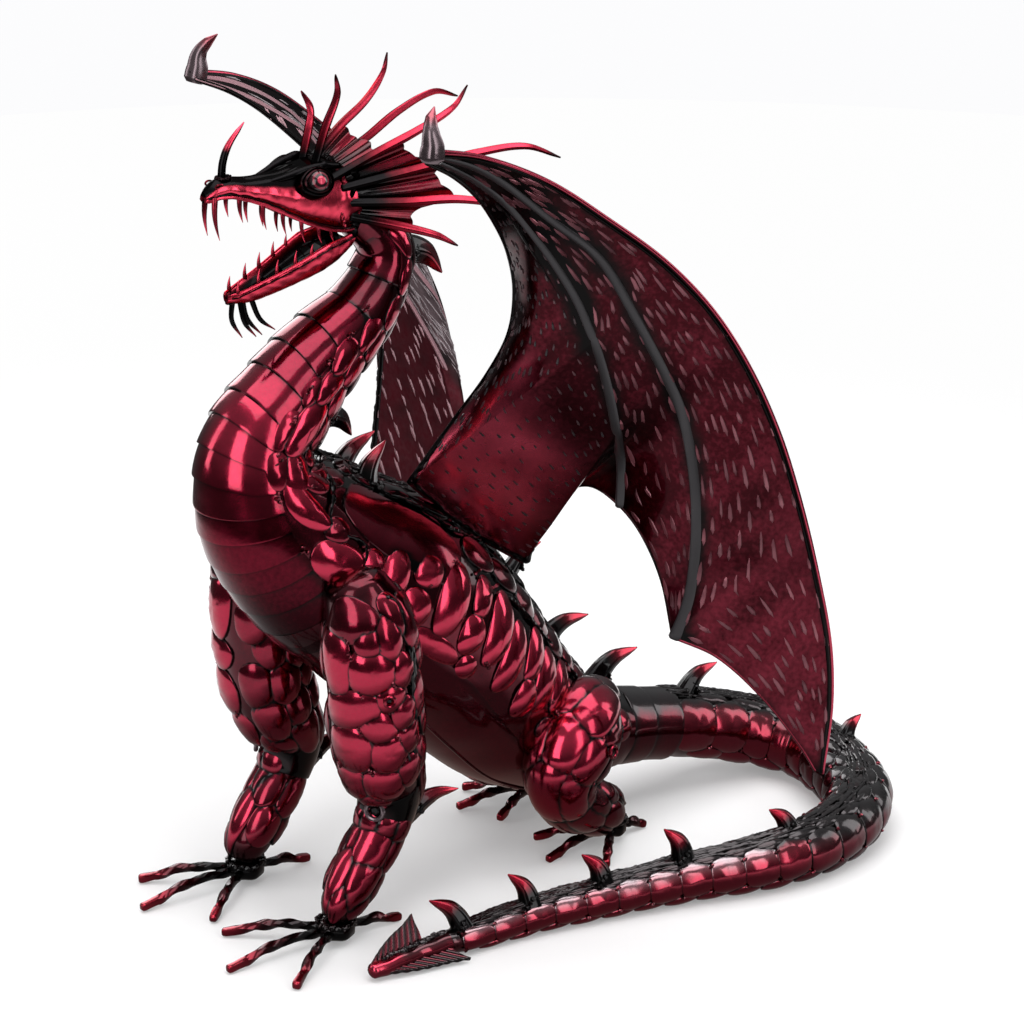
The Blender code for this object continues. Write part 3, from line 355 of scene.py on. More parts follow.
class Limb:
    """A swept limb, looked up by share of its length and angle round it."""

    def __init__(self, stations, side=(1.0, 0.0, 0.0), n=500, floor=False):
        p = spline(stations, n)
        if floor:
            p[:, 2] = np.maximum(p[:, 2], p[:, 3] + 0.0003)
        self.n = n
        self.c, self.h = p[:, :3], p[:, 3]
        self.w = p[:, 4] if p.shape[1] > 4 else p[:, 3]
        self.t, self.a, self.u = frames(self.c, side)
        self.len = np.linalg.norm(np.diff(self.c, axis=0), axis=1).sum()

    def at(self, s, th, lift=0.0):
        s, th, lift = np.broadcast_arrays(np.asarray(s, float), np.asarray(th, float), np.asarray(lift, float))
        k = np.clip(s, 0, 1) * (self.n - 1)
        i = np.minimum(k.astype(int), self.n - 2)
        f = (k - i)[..., None]
        past = np.where(s < 0, s, np.where(s > 1, s - 1, 0.0))[..., None] * self.len
        w = np.interp(k, np.arange(self.n), self.w) + lift
        h = np.interp(k, np.arange(self.n), self.h) + lift
        lerp = lambda A: A[i] * (1 - f) + A[i + 1] * f
        return (lerp(self.c) + past * lerp(self.t) + lerp(self.a) * (w * np.cos(th))[..., None]
                + lerp(self.u) * (h * np.sin(th))[..., None])

    def radius(self, s):
        k = np.clip(s, 0, 1) * (self.n - 1)
        return (np.interp(k, np.arange(self.n), self.w) + np.interp(k, np.arange(self.n), self.h)) / 2


# ---------------------------------------------------------------- mesh builder
class Shape:
    """Gathers closed bodies with their shading into one mesh."""

    def __init__(self, name):
        self.name, self.n = name, 0
        self.v, self.quads, self.tris, self.soot, self.tone = [], [], [], [], []

    def points(self, P, soot, tone):
        P = np.asarray(P, float).reshape(-1, 3)
        start = self.n
        self.v.append(P)
        self.soot.append(np.broadcast_to(np.asarray(soot, float).reshape(-1) if np.ndim(soot) else float(soot), (len(P),)))
        self.tone.append(np.broadcast_to(np.asarray(tone, float).reshape(-1) if np.ndim(tone) else float(tone), (len(P),)))
        self.n += len(P)
        return start

    def grid(self, P, ring=True, caps=(True, True), soot=0.0, tone=0.0):
        """Rows of points skinned into a closed tube, with fan caps at its ends."""
        P = np.asarray(P, float)
        r, c = P.shape[:2]
        start = self.points(P, soot, tone)
        idx = np.arange(r * c).reshape(r, c) + start
        a, b = idx[:-1], idx[1:]
        if ring:
            a2, b2 = np.roll(a, -1, 1), np.roll(b, -1, 1)
        else:
            a, a2, b, b2 = a[:, :-1], a[:, 1:], b[:, :-1], b[:, 1:]
        self.quads.append(np.stack([a, a2, b2, b], -1).reshape(-1, 4))
        if ring:
            so = np.broadcast_to(np.asarray(soot, float), (r, c)) if np.ndim(soot) != 1 else np.asarray(soot, float).reshape(r, c)
            to = np.broadcast_to(np.asarray(tone, float), (r, c)) if np.ndim(tone) != 1 else np.asarray(tone, float).reshape(r, c)
            for use, row in ((caps[0], 0), (caps[1], -1)):
                if use:
                    m = self.points(P[row].mean(0)[None], so[row].mean(), to[row].mean())
                    loop = idx[row]
                    self.tris.append(np.stack([loop, np.roll(loop, -1), np.full(c, m)], -1))
        return idx

    def slab(self, top, low, soot=0.0, tone=0.0, soot_low=None, tone_low=None):
        """Two matching grids of points closed round their edge. The lower one may have its own shading."""
        top, low = np.asarray(top, float), np.asarray(low, float)
        r, c = top.shape[:2]
        i0 = self.points(top, soot, tone)
        i1 = self.points(low, soot if soot_low is None else soot_low, tone if tone_low is None else tone_low)
        for s in (i0, i1):
            g = np.arange(r * c).reshape(r, c) + s
            self.quads.append(np.stack([g[:-1, :-1], g[:-1, 1:], g[1:, 1:], g[1:, :-1]], -1).reshape(-1, 4))
        g = np.arange(r * c).reshape(r, c)
        edge = np.concatenate([g[0, :-1], g[:-1, -1], g[-1, :0:-1], g[:0:-1, 0]])
        nxt = np.roll(edge, -1)
        self.quads.append(np.stack([edge + i0, nxt + i0, nxt + i1, edge + i1], -1))

    def raw(self, P, faces, soot=0.0, tone=0.0):
        start = self.points(P, soot, tone)
        faces = np.asarray(faces, int)
        (self.tris if faces.shape[1] == 3 else self.quads).append(faces + start)

    def build(self, material, slot, nodes=(), sharp=38.0):
        v = np.concatenate(self.v) + SHIFT
        faces = []
        for block in self.quads:
            faces.extend(map(tuple, block.tolist()))
        for block in self.tris:
            faces.extend(map(tuple, block.tolist()))
        mesh = bpy.data.meshes.new(self.name)
        mesh.from_pydata(v.tolist(), [], faces)
        for label, data in (("soot", self.soot), ("tone", self.tone)):
            layer = mesh.attributes.new(label, "FLOAT", "POINT")
            layer.data.foreach_set("value", np.clip(np.concatenate(data), 0, 1).astype(np.float32))
        bm = bmesh.new()
        bm.from_mesh(mesh)
        bmesh.ops.recalc_face_normals(bm, faces=bm.faces)
        bm.to_mesh(mesh)
        bm.free()
        mesh.materials.append(material)
        mesh.shade_smooth()
        mesh.set_sharp_from_angle(angle=math.radians(sharp))
        obj = bpy.data.objects.new(self.name, mesh)
        bpy.context.scene.collection.objects.link(obj)
        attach(obj, "root")
        if nodes:
            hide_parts(*nodes)
        return obj


def bell(count, low=3, high=3):
    """Unit direction rows for a small round blob."""
    ring = np.arange(count) * TAU / count
    rows = []
    for lat in np.linspace(-90, 90, low + high)[1:-1]:
        a = math.radians(lat)
        rows.append(np.stack([np.cos(ring) * math.cos(a), np.sin(ring) * math.cos(a), np.full(count, math.sin(a))], -1))
    return np.array(rows)


BLOB = bell(7)


def blob(shape, centre, size, axis=(0, 0, 1), stretch=1.0, rough=0.18, seed=0, soot=0.8, tone=0.0):
    """A lump of weld metal."""
    rng = np.random.default_rng(seed)
    d = np.array(axis, float)
    d /= np.linalg.norm(d)
    u = np.cross(d, (0.31, 0.9, 0.2))
    u /= np.linalg.norm(u)
    w = np.cross(d, u)
    P = BLOB.copy()
    P *= 1 + rng.uniform(-rough, rough, P.shape[:2])[..., None]
    P = P[..., :1] * u + P[..., 1:2] * w + P[..., 2:] * d * stretch
    shape.grid(np.array(centre, float) + P * size, soot=soot, tone=tone)


def beads(shape, path, size, step=1.35, seed=1, soot=0.85, tone=0.0, scatter=0.35, stretch=1.2):
    """A chain of weld lumps along a path."""
    path = np.asarray(path, float)
    arc = np.concatenate(([0.0], np.cumsum(np.linalg.norm(np.diff(path, axis=0), axis=1))))
    count = max(2, int(arc[-1] / (size * step)) + 1)
    rng = np.random.default_rng(seed)
    for k, want in enumerate(np.linspace(0, arc[-1], count)):
        p = np.array([np.interp(want, arc, path[:, c]) for c in range(3)])
        q = np.array([np.interp(min(want + size, arc[-1]), arc, path[:, c]) for c in range(3)])
        d = q - p if np.linalg.norm(q - p) > 1e-6 else path[-1] - path[-2]
        blob(shape, p + rng.normal(size=3) * size * scatter * 0.5, size * rng.uniform(0.75, 1.25), d, stretch, 0.2,
             seed * 1000 + k, soot, tone)


def tube(shape, path, radii, sides=8, soot=0.0, tone=0.0, power=2.0, turn=0.0, side=None, flat=1.0, groove=0.0, grooves=5,
         rounded=True):
    """A bar swept along a path, with rounded ends. radii, soot and tone may vary along it."""
    path = np.asarray(path, float)
    n = len(path)
    radii = np.broadcast_to(np.asarray(radii, float), (n,))
    turn = np.broadcast_to(np.asarray(turn, float), (n,))
    soot = np.broadcast_to(np.asarray(soot, float), (n,))
    tone = np.broadcast_to(np.asarray(tone, float), (n,))
    if side is None:
        d = path[-1] - path[0]
        side = np.cross(d, (0.13, 0.21, 0.97)) if abs(d[2]) < 0.9 * np.linalg.norm(d) else np.cross(d, (0.9, 0.3, 0.1))
    t, a, u = frames(path, side)
    rows, so, to = [], [], []

    def ring(p, k, r):
        ang = np.arange(sides) * TAU / sides
        c, s = np.cos(ang), np.sin(ang)
        m = (np.abs(c)**power + np.abs(s)**power) ** (-1.0 / power)
        m = m * (1 + groove * np.cos(grooves * ang))
        cc, ss = c * m, s * m
        ct, st = math.cos(turn[k]), math.sin(turn[k])
        x, y = cc * ct - ss * st, cc * st + ss * ct
        rows.append(p + r * (x[:, None] * a[k] + flat * y[:, None] * u[k]))
        so.append(np.full(sides, soot[k]))
        to.append(np.full(sides, tone[k]))

    if rounded:
        ring(path[0] - t[0] * radii[0] * 0.35, 0, radii[0] * 0.70)
    for k in range(n):
        ring(path[k], k, radii[k])
    if rounded:
        ring(path[-1] + t[-1] * radii[-1] * 0.35, n - 1, radii[-1] * 0.70)
    shape.grid(np.array(rows), soot=np.array(so), tone=np.array(to))


RING = ((1.0, -1.0, 1.0), (1.0, 0.0, 1.0), (0.985, 0.14, 0.65), (0.96, 0.22, 0.22), (0.92, 0.30, 0.05), (0.87, 0.39, 0.0), (0.81, 0.48, 0.0),
        (0.73, 0.59, 0.0), (0.63, 0.70, 0.0), (0.50, 0.82, 0.0), (0.34, 0.92, 0.0), (0.13, 0.99, 0.0))
RISE_AT = [r for r, up, dark in RING[:0:-1]]
RISE = [up for r, up, dark in RING[:0:-1]]


def weld_run(shape, path, size, seed=1, soot=0.93, tone=0.15, flat=0.7):
    """A rough continuous run of weld along a path, its ripples running together."""
    path = np.asarray(path, float)
    arc = np.concatenate(([0.0], np.cumsum(np.linalg.norm(np.diff(path, axis=0), axis=1))))
    n = max(12, int(arc[-1] / 0.0027))
    at = np.linspace(0, arc[-1], n)
    P = np.stack([np.interp(at, arc, path[:, k]) for k in range(3)], -1)
    rng = np.random.default_rng(seed)
    slow = np.convolve(rng.normal(size=n + 8), np.ones(9) / 3.0, "valid")
    P = P + np.stack([np.convolve(rng.normal(size=n + 4), np.ones(5) / 5, "valid") for k in range(3)], -1) * size * 0.45
    rad = size * np.clip(0.85 + 0.30 * slow + 0.16 * np.sin(at / size * 1.3 + rng.uniform(0, 6)), 0.35, 1.6)
    rad[0] *= 0.5
    rad[-1] *= 0.5
    tube(shape, P, rad, 8, soot=soot, tone=tone, flat=flat)


def plate(shape, limb, s0, th0, la, lb, turn=0.0, dome=0.0030, lift=0.0004, point=0.0, tip=0.0, soot=0.12, rim=0.66,
          tone=0.5, power=2.2, segs=26, seed=0, bump=0.0, deg=True, grad=0.0, others=()):
    """A domed scale welded on a limb: half length la along it and lb round it, in metres. Where it runs into one of
    the others a sooty groove is left between them."""
    if deg:
        th0, turn = math.radians(th0), math.radians(turn)
    ang = np.arange(segs) * TAU / segs
    c, s = np.cos(ang), np.sin(ang)
    m = (np.abs(c)**power + np.abs(s)**power) ** (-1.0 / power)
    ux, vx = c * m, s * m * (1 - point * c * m)
    rows, so, to = [], [], []
    rad = float(limb.radius(s0))
    for rho, up, dark in RING:
        a, b = ux * rho * la, vx * rho * lb
        x = a * math.cos(turn) - b * math.sin(turn)
        y = a * math.sin(turn) + b * math.cos(turn)
        h = lift + (dome * up if up >= 0 else -0.0022) + (tip * ux * rho if up >= 0 else 0.0) + np.zeros(segs)
        join = np.zeros(segs)
        if up >= 0:
            for o in others:
                dx = (s0 - o["s0"]) * limb.len + x
                dy = ((th0 + y / rad - o["th0"] + math.pi) % TAU - math.pi) * o["rad"]
                u = (dx * math.cos(o["turn"]) + dy * math.sin(o["turn"])) / o["la"]
                v = (dy * math.cos(o["turn"]) - dx * math.sin(o["turn"])) / o["lb"] / np.clip(1 - o["point"] * u, 0.2, 2)
                far = (np.abs(u)**o["power"] + np.abs(v)**o["power"]) ** (1 / o["power"])
                level = np.where(far < 1, o["lift"] + o["dome"] * np.interp(far, RISE_AT, RISE) + o["tip"] * u, -0.002)
                join = np.maximum(join, np.where(far < 1.02, 1 - smooth(h - level, 0.0000, 0.0008), 0))
            h = h - 0.0005 * join
        P = limb.at(s0 + x / limb.len, th0 + y / rad, h)
        if bump:
            P = P + (wobble(P, 0.012, seed) * bump * max(up, 0.0))[..., None] * 0.6
        rows.append(P)
        # The last term fades one half of the plate to its lacquer's black: black paint, and on the near tail's side
        # plates a painted reflection.
        so.append(np.clip(soot + np.maximum(rim * dark, 0.78 * join) + grad * s * rho, 0, 1))
        to.append(tone * (1 - 0.4 * np.maximum(dark, join)))
    shape.grid(np.array(rows), soot=np.array(so), tone=np.array(to))


class Scales:
    """A set of plates on one limb that know about each other."""

    def __init__(self, shape, limb):
        self.shape, self.limb, self.items = shape, limb, []

    def add(self, s0, th0, la, lb, turn=0.0, **rest):
        one = dict(s0=s0, th0=math.radians(th0), la=la, lb=lb, turn=math.radians(turn), dome=0.0030, lift=0.0004, point=0.0, tip=0.0,
                   power=2.2)
        one.update(rest)
        one["rad"] = float(self.limb.radius(s0))
        self.items.append(one)

    def build(self):
        for k, one in enumerate(self.items):
            near = []
            for j, o in enumerate(self.items):
                if j != k and abs(o["s0"] - one["s0"]) * self.limb.len < 0.045 + 0.012:
                    turn = (o["th0"] - one["th0"] + math.pi) % TAU - math.pi
                    if abs(turn) * one["rad"] < 0.055:
                        near.append(o)
            rest = {key: value for key, value in one.items() if key not in ("s0", "th0", "la", "lb", "turn", "rad", "shape")}
            plate(one.get("shape") or self.shape, self.limb, one["s0"], one["th0"], one["la"], one["lb"], one["turn"], deg=False, others=near, **rest)


def mirror_tables(table, sides=(1, -1)):
    for sign in sides:
        for row in table:
            yield sign, row


# ---------------------------------------------------------------- materials
def lacquer(name, red, bright, black=(0.0065, 0.0060, 0.0068), rough=0.17, metallic=0.85, grain=0.25, bump=0.10,
            fine=1.0, soot_gain=1.0, coat=0.55, spec=0.5, edge=1.0):
    """Transparent red lacquer over bright steel, airbrushed black where the black value is high; in places that value
    is painted shade, and a high tone is a painted highlight.
    """
    mat = bpy.data.materials.new(name)
    mat.use_nodes = True
    tree = mat.node_tree
    nodes, links = tree.nodes, tree.links
    shader = nodes["Principled BSDF"]
    shader.inputs["Metallic"].default_value = metallic
    shader.inputs["Coat Weight"].default_value = coat
    shader.inputs["Specular IOR Level"].default_value = spec
    if edge < 1.0:
        shader.inputs["Specular Tint"].default_value = (edge, edge * 0.85, edge * 0.85, 1.0)
    shader.inputs["Coat Roughness"].default_value = 0.05
    shader.inputs["Coat IOR"].default_value = 1.38
    co = nodes.new("ShaderNodeTexCoord")

    def noise(scale, detail=3.0, roughness=0.55):
        n = nodes.new("ShaderNodeTexNoise")
        n.inputs["Scale"].default_value = scale
        n.inputs["Detail"].default_value = detail
        n.inputs["Roughness"].default_value = roughness
        links.new(co.outputs["Object"], n.inputs["Vector"])
        return n.outputs["Fac"]

    def math_node(op, a, b, c=None, clamp=False):
        n = nodes.new("ShaderNodeMath")
        n.operation = op
        n.use_clamp = clamp
        for k, x in enumerate((a, b, c)):
            if x is None:
                continue
            if isinstance(x, (int, float)):
                n.inputs[k].default_value = x
            else:
                links.new(x, n.inputs[k])
        return n.outputs[0]

    def mix(fac, a, b):
        n = nodes.new("ShaderNodeMix")
        n.data_type = "RGBA"
        links.new(fac, n.inputs[0])
        for k, x in ((6, a), (7, b)):
            if isinstance(x, tuple):
                n.inputs[k].default_value = (*x, 1.0)
            else:
                links.new(x, n.inputs[k])
        return n.outputs[2]

    soot = nodes.new("ShaderNodeAttribute")
    soot.attribute_name = "soot"
    tone = nodes.new("ShaderNodeAttribute")
    tone.attribute_name = "tone"
    broad = noise(38.0 * fine, 4.0)
    speck = noise(210.0 * fine, 2.0)
    clouds = math_node("MULTIPLY_ADD", broad, grain * 2, -grain)
    level = math_node("MULTIPLY_ADD", soot.outputs["Fac"], soot_gain, clouds)
    level = math_node("SMOOTH_MAX", level, 0.0, 0.02, clamp=True)
    ramp = nodes.new("ShaderNodeMapRange")
    ramp.interpolation_type = "SMOOTHSTEP"
    ramp.inputs["From Min"].default_value = 0.12
    ramp.inputs["From Max"].default_value = 0.88
    links.new(level, ramp.inputs["Value"])
    # tone lifts the red towards the bright colour; where tone was raised for light caught on a surface it is a painted
    # highlight
    tone_mix = math_node("MULTIPLY_ADD", speck, 0.22, math_node("MULTIPLY_ADD", tone.outputs["Fac"], 1.0, -0.11), clamp=True)
    colour = mix(ramp.outputs["Result"], mix(tone_mix, red, bright), black)
    links.new(colour, shader.inputs["Base Color"])
    rr = nodes.new("ShaderNodeMapRange")
    rr.inputs["From Min"].default_value = 0.25
    rr.inputs["From Max"].default_value = 0.75
    rr.inputs["To Min"].default_value = max(0.05, rough - 0.06)
    rr.inputs["To Max"].default_value = rough + 0.12
    links.new(broad, rr.inputs["Value"])
    links.new(rr.outputs["Result"], shader.inputs["Roughness"])
    b = nodes.new("ShaderNodeBump")
    b.inputs["Strength"].default_value = bump
    b.inputs["Distance"].default_value = 0.0012
    links.new(noise(120.0 * fine, 2.5), b.inputs["Height"])
    links.new(b.outputs["Normal"], shader.inputs["Normal"])
    b2 = nodes.new("ShaderNodeBump")
    b2.inputs["Strength"].default_value = bump * 0.7
    b2.inputs["Distance"].default_value = 0.0010
    links.new(noise(65.0 * fine, 1.5), b2.inputs["Height"])
    links.new(b2.outputs["Normal"], shader.inputs["Coat Normal"])
    return mat


BODY_RED = lacquer("body_red_lacquer", (0.110, 0.0018, 0.0120), (0.42, 0.017, 0.050), rough=0.14, metallic=1.0, black=(0.0050, 0.0045, 0.0050), grain=0.20)
HEAD_RED = lacquer("head_red_lacquer", (0.20, 0.004, 0.014), (0.80, 0.060, 0.110), rough=0.24, metallic=1.0, coat=0.10, edge=0.35, black=(0.0050, 0.0045, 0.0050))
# Its bright colour, a pale mauve-pink, is a painted sheen on the wing's root panel.
WING_RED = lacquer("wing_red_lacquer", (0.036, 0.0012, 0.0042), (0.75, 0.085, 0.150), rough=0.20, metallic=1.0, grain=0.16, bump=0.03,
                   black=(0.0040, 0.0034, 0.0036), coat=0.15)
WING_FAR = lacquer("far_wing_lacquer", (0.052, 0.0040, 0.0080), (0.150, 0.118, 0.126), rough=0.44, metallic=0.75, grain=0.30, bump=0.05,
                   black=(0.0100, 0.0085, 0.0090), coat=0.0, spec=0.10, edge=0.3)
# The dash lacquers are paler than the sheet: the dashes' own colour, partly lightened as a painted highlight where the
# struck marks catch the light.
DASH_RED = lacquer("wing_dash_lacquer", (0.080, 0.022, 0.030), (0.260, 0.090, 0.110), rough=0.30, metallic=0.80, grain=0.15, bump=0.03,
                   black=(0.040, 0.037, 0.040), coat=0.15)
DASH_FAR = lacquer("far_wing_dash_lacquer", (0.250, 0.120, 0.140), (0.400, 0.240, 0.265), rough=0.40, metallic=0.30, grain=0.15, bump=0.03,
                   black=(0.290, 0.250, 0.262), coat=0.0, spec=0.2)
# Its black is a dark grey, lighter than the body's: black paint with a painted grey reflection over the tail's black
# top.
TAIL_RED = lacquer("tail_red_lacquer", (0.100, 0.0020, 0.0110), (0.42, 0.030, 0.060), rough=0.15, metallic=1.0, black=(0.0320, 0.0280, 0.0290), grain=0.22)
# The tail lacquer again with a pale grey for black: on the upper halves of the near tail's side plates it is a painted
# reflection of the lights.
TAIL_SIDE_SHEEN = lacquer("tail_side_sheen_lacquer", (0.100, 0.0020, 0.0110), (0.42, 0.030, 0.060), rough=0.17, metallic=1.0, black=(0.260, 0.215, 0.228), grain=0.16)
# A darker copy of the body lacquer for the lowest chest bands: painted shade, as they face down.
CHEST_SHADE_RED = lacquer("lower_chest_shade_lacquer", (0.036, 0.0014, 0.0050), (0.42, 0.017, 0.050), rough=0.16, metallic=1.0, black=(0.0060, 0.0045, 0.0045), grain=0.20,
                     coat=0.12)
CLAW_GREY = lacquer("wing_claw_lacquer", (0.110, 0.020, 0.028), (0.300, 0.070, 0.090), rough=0.22, metallic=0.9, black=(0.135, 0.100, 0.110), coat=0.3)
HORN_RED = lacquer("horn_red_lacquer", (0.085, 0.0014, 0.0080), (0.42, 0.014, 0.036), rough=0.20, metallic=1.0, black=(0.0050, 0.0045, 0.0050))
GLOSS = lacquer("black_gloss", (0.010, 0.006, 0.0065), (0.50, 0.040, 0.080), rough=0.07, metallic=0.2, grain=0.1, bump=0.02, coat=0.45, spec=0.3)


# ---------------------------------------------------------------- trunk and neck
BODY = Limb([(0.0, y, z, h, w) for y, z, h, w in SPINE])
UP = math.pi / 2


def skin(shape, limb, rows, cols, lift, soot, tone, s_from=0.0, s_to=1.0, dome=(0.0, 0.0)):
    """The bare sheet under the scales."""
    S, TH = np.meshgrid(np.linspace(s_from, s_to, rows), np.arange(cols) * TAU / cols - math.pi, indexing="ij")
    P = limb.at(S, TH, 0.0)
    P = limb.at(S, TH, lift + 0.0006 * wobble(P, 0.03, 5))
    so, to = soot(S, TH), tone(S, TH)
    rings, extra_s, extra_t = [P], [so], [to]
    for end, length in enumerate(dome):
        if length <= 0:
            continue
        k = -1 if end else 0
        centre = P[k].mean(0)
        way = limb.t[-1] if end else -limb.t[0]
        cap = [centre + way * length * math.sin(a) + (P[k] - centre) * math.cos(a)
               for a in np.radians([18, 36, 54, 70, 84])]
        block = np.array(cap if end else cap[::-1])
        rings.insert(len(rings) if end else 0, block)
        extra_s.insert(len(extra_s) if end else 0, np.repeat(so[k][None], 5, 0))
        extra_t.insert(len(extra_t) if end else 0, np.repeat(to[k][None], 5, 0))
    shape.grid(np.concatenate(rings), soot=np.concatenate(extra_s), tone=np.concatenate(extra_t))


def band(shape, limb, s0, s1, half, lip=0.0040, sag=0.006, soot=0.10, tone=0.4, mid=-90.0, cols=49):
    """A curved belly plate across the front: its lower edge stands proud over the next one. The dark at its upper edge,
    tucked under the band above, is painted shade; the dark lip is black paint.
    """
    v = np.linspace(-1, 1, cols)
    half = math.radians(half)
    prof = [(-0.12, -0.0024, 1.0), (-0.12, 0.0, 1.0), (0.0, 0.10, 0.95), (0.05, 0.16, 0.45), (0.16, 0.28, 0.10), (0.40, 0.50, 0.0),
            (0.70, 0.76, 0.0), (0.90, 0.94, 0.0), (0.965, 1.0, 0.10), (0.995, 0.97, 0.80), (1.0, 0.80, 1.0), (1.0, -0.0024, 1.0)]
    x = np.array([p[0] for p in prof])
    y = np.array([p[1] for p in prof])
    dark = np.array([p[2] for p in prof])
    X, V = np.meshgrid(x, v, indexing="xy")
    edge = 1 - np.abs(V)**7 * 0.90
    L = np.where(y[None] < 0, y[None], y[None] * lip * edge + 0.0003)
    S = s0 + X * (s1 - s0) + sag * V**2
    P = limb.at(S, math.radians(mid) + V * half, L)
    D = np.clip(dark[None] * 0.75 + soot + 0.45 * smooth(np.abs(V), 0.90, 1.0), 0, 1)
    shape.grid(P, soot=D, tone=np.clip(tone * (1 - dark[None] * 0.5) + 0 * D, 0, 1))


def sleeve(shape, limb, s0, s1, lift0, lift1, soot, tone, cols=64):
    """A smooth ring of sheet right round the limb."""
    x = np.array([0.0, 0.0, 0.03, 0.12, 0.3, 0.5, 0.7, 0.88, 0.96, 0.99, 1.0, 1.0])
    y = np.array([-9, 0.0, 0.35, 0.6, 0.8, 0.9, 0.97, 1.0, 1.02, 0.8, 0.3, -9])
    d = np.array([1, 1, 0.8, 0.4, 0.05, 0.0, 0.0, 0.05, 0.35, 0.9, 1, 1.0])
    X, TH = np.meshgrid(x, np.arange(cols) * TAU / cols, indexing="ij")
    L = np.where(y[:, None] < -1, -0.003, lift0 + (lift1 - lift0) * x[:, None] + 0.0012 * (y[:, None] - 1))
    P = limb.at(s0 + X * (s1 - s0), TH, L)
    so = soot(s0 + X * (s1 - s0), TH) + 0.6 * d[:, None]
    shape.grid(P, soot=np.clip(so, 0, 1), tone=tone * (1 - 0.6 * d[:, None]) + 0 * TH)


def body_soot(S, TH):
    back = smooth(np.sin(TH), 0.25, 0.95)
    belly = smooth(-np.sin(TH), -0.2, 0.5) * smooth(S, 0.42, 0.60)
    return np.clip(0.46 + 0.50 * back - 0.10 * belly, 0, 1)


body_skin = Shape("body_skin")
skin(body_skin, BODY, 190, 96, -0.0010, body_soot, lambda S, TH: 0.12 + 0 * S)
body_skin.build(BODY_RED, "red_lacquer", ["body"])

throat = Shape("throat_and_chest_bands")
low_chest = Shape("lower_chest_bands")
sleeve(throat, BODY, 0.020, 0.093, -0.0006, 0.0018, lambda s, th: 0.24 + 0.55 * smooth(np.sin(th), 0.2, 0.9), 0.10)
sleeve(throat, BODY, 0.088, 0.139, -0.0004, 0.0012, lambda s, th: 0.44 + 0.45 * smooth(np.sin(th), 0.2, 0.9), 0.05)
EDGES = [0.134, 0.179, 0.215, 0.243, 0.280, 0.299, 0.316, 0.333, 0.352, 0.371, 0.393, 0.416, 0.441, 0.468, 0.497]
# Painted light on the chest bands: the raised tone of the middle bands is a painted highlight; the falling tone and
# rising black of the lowest bands, and their darker lacquer, are painted shade.
for k, (a, b) in enumerate(zip(EDGES[:-1], EDGES[1:])):
    t = k / (len(EDGES) - 2)
    band(throat if k < 8 else low_chest, BODY, a, b, (74, 72, 74, 72, 76, 77, 78, 78, 77, 76, 75, 72, 68, 62)[k], lip=(0.0024, 0.0026, 0.0028, 0.0030, 0.0030, 0.0028, 0.0026,
         0.0024, 0.0022, 0.0022, 0.0020, 0.0018, 0.0018, 0.0016)[k], sag=0.010 - 0.004 * t, soot=0.10 - 0.07 * smooth(t, 0.1, 0.3) + 0.22 * smooth(t, 0.70, 0.95),
         tone=(0.10 + 0.56 * smooth(t, 0.12, 0.40) * (1 - smooth(t, 0.50, 0.66))) if k < 8 else (0.26, 0.15, 0.08, 0.04, 0.0, 0.0)[k - 8])
throat.build(BODY_RED, "red_lacquer")
low_chest.build(CHEST_SHADE_RED, "red_lacquer")

# smooth belly sheet with a rolled seam down each side
belly = Shape("belly_sheet")
S, V = np.meshgrid(np.linspace(0.470, 0.965, 90), np.linspace(-1, 1, 60), indexing="ij")
wide = np.radians(np.interp(S, [0.47, 0.55, 0.68, 0.80, 0.90, 0.97], [60, 74, 76, 70, 60, 50]))
TH = -UP + V * wide
rolled = 0.0010 * np.exp(-((np.abs(V) - 0.96) / 0.03)**2)
top = BODY.at(S, TH, 0.0013 + rolled + 0.0003 * wobble(BODY.at(S, TH), 0.05, 8))
low = BODY.at(S, TH, -0.0030)
belly.slab(top, low, soot=(0.26 + 0.30 * smooth(np.abs(V), 0.93, 1.0) + 0.15 * smooth(0.54 - S, 0, 0.05)).ravel(),
           tone=(0.04 + 0.10 * smooth(S, 0.55, 0.8) * (1 - smooth(np.abs(V), 0.35, 0.8))).ravel())
for sign in (1, -1):
    ss = np.linspace(0.60, 0.935, 60)
    th = -UP + sign * np.radians(np.interp(ss, [0.60, 0.68, 0.88, 0.94], [42, 37, 26, 20]))
    tube(belly, BODY.at(ss, th, 0.0012), 0.0017, 8, soot=0.62, tone=0.55)
belly.build(BODY_RED, "red_lacquer")
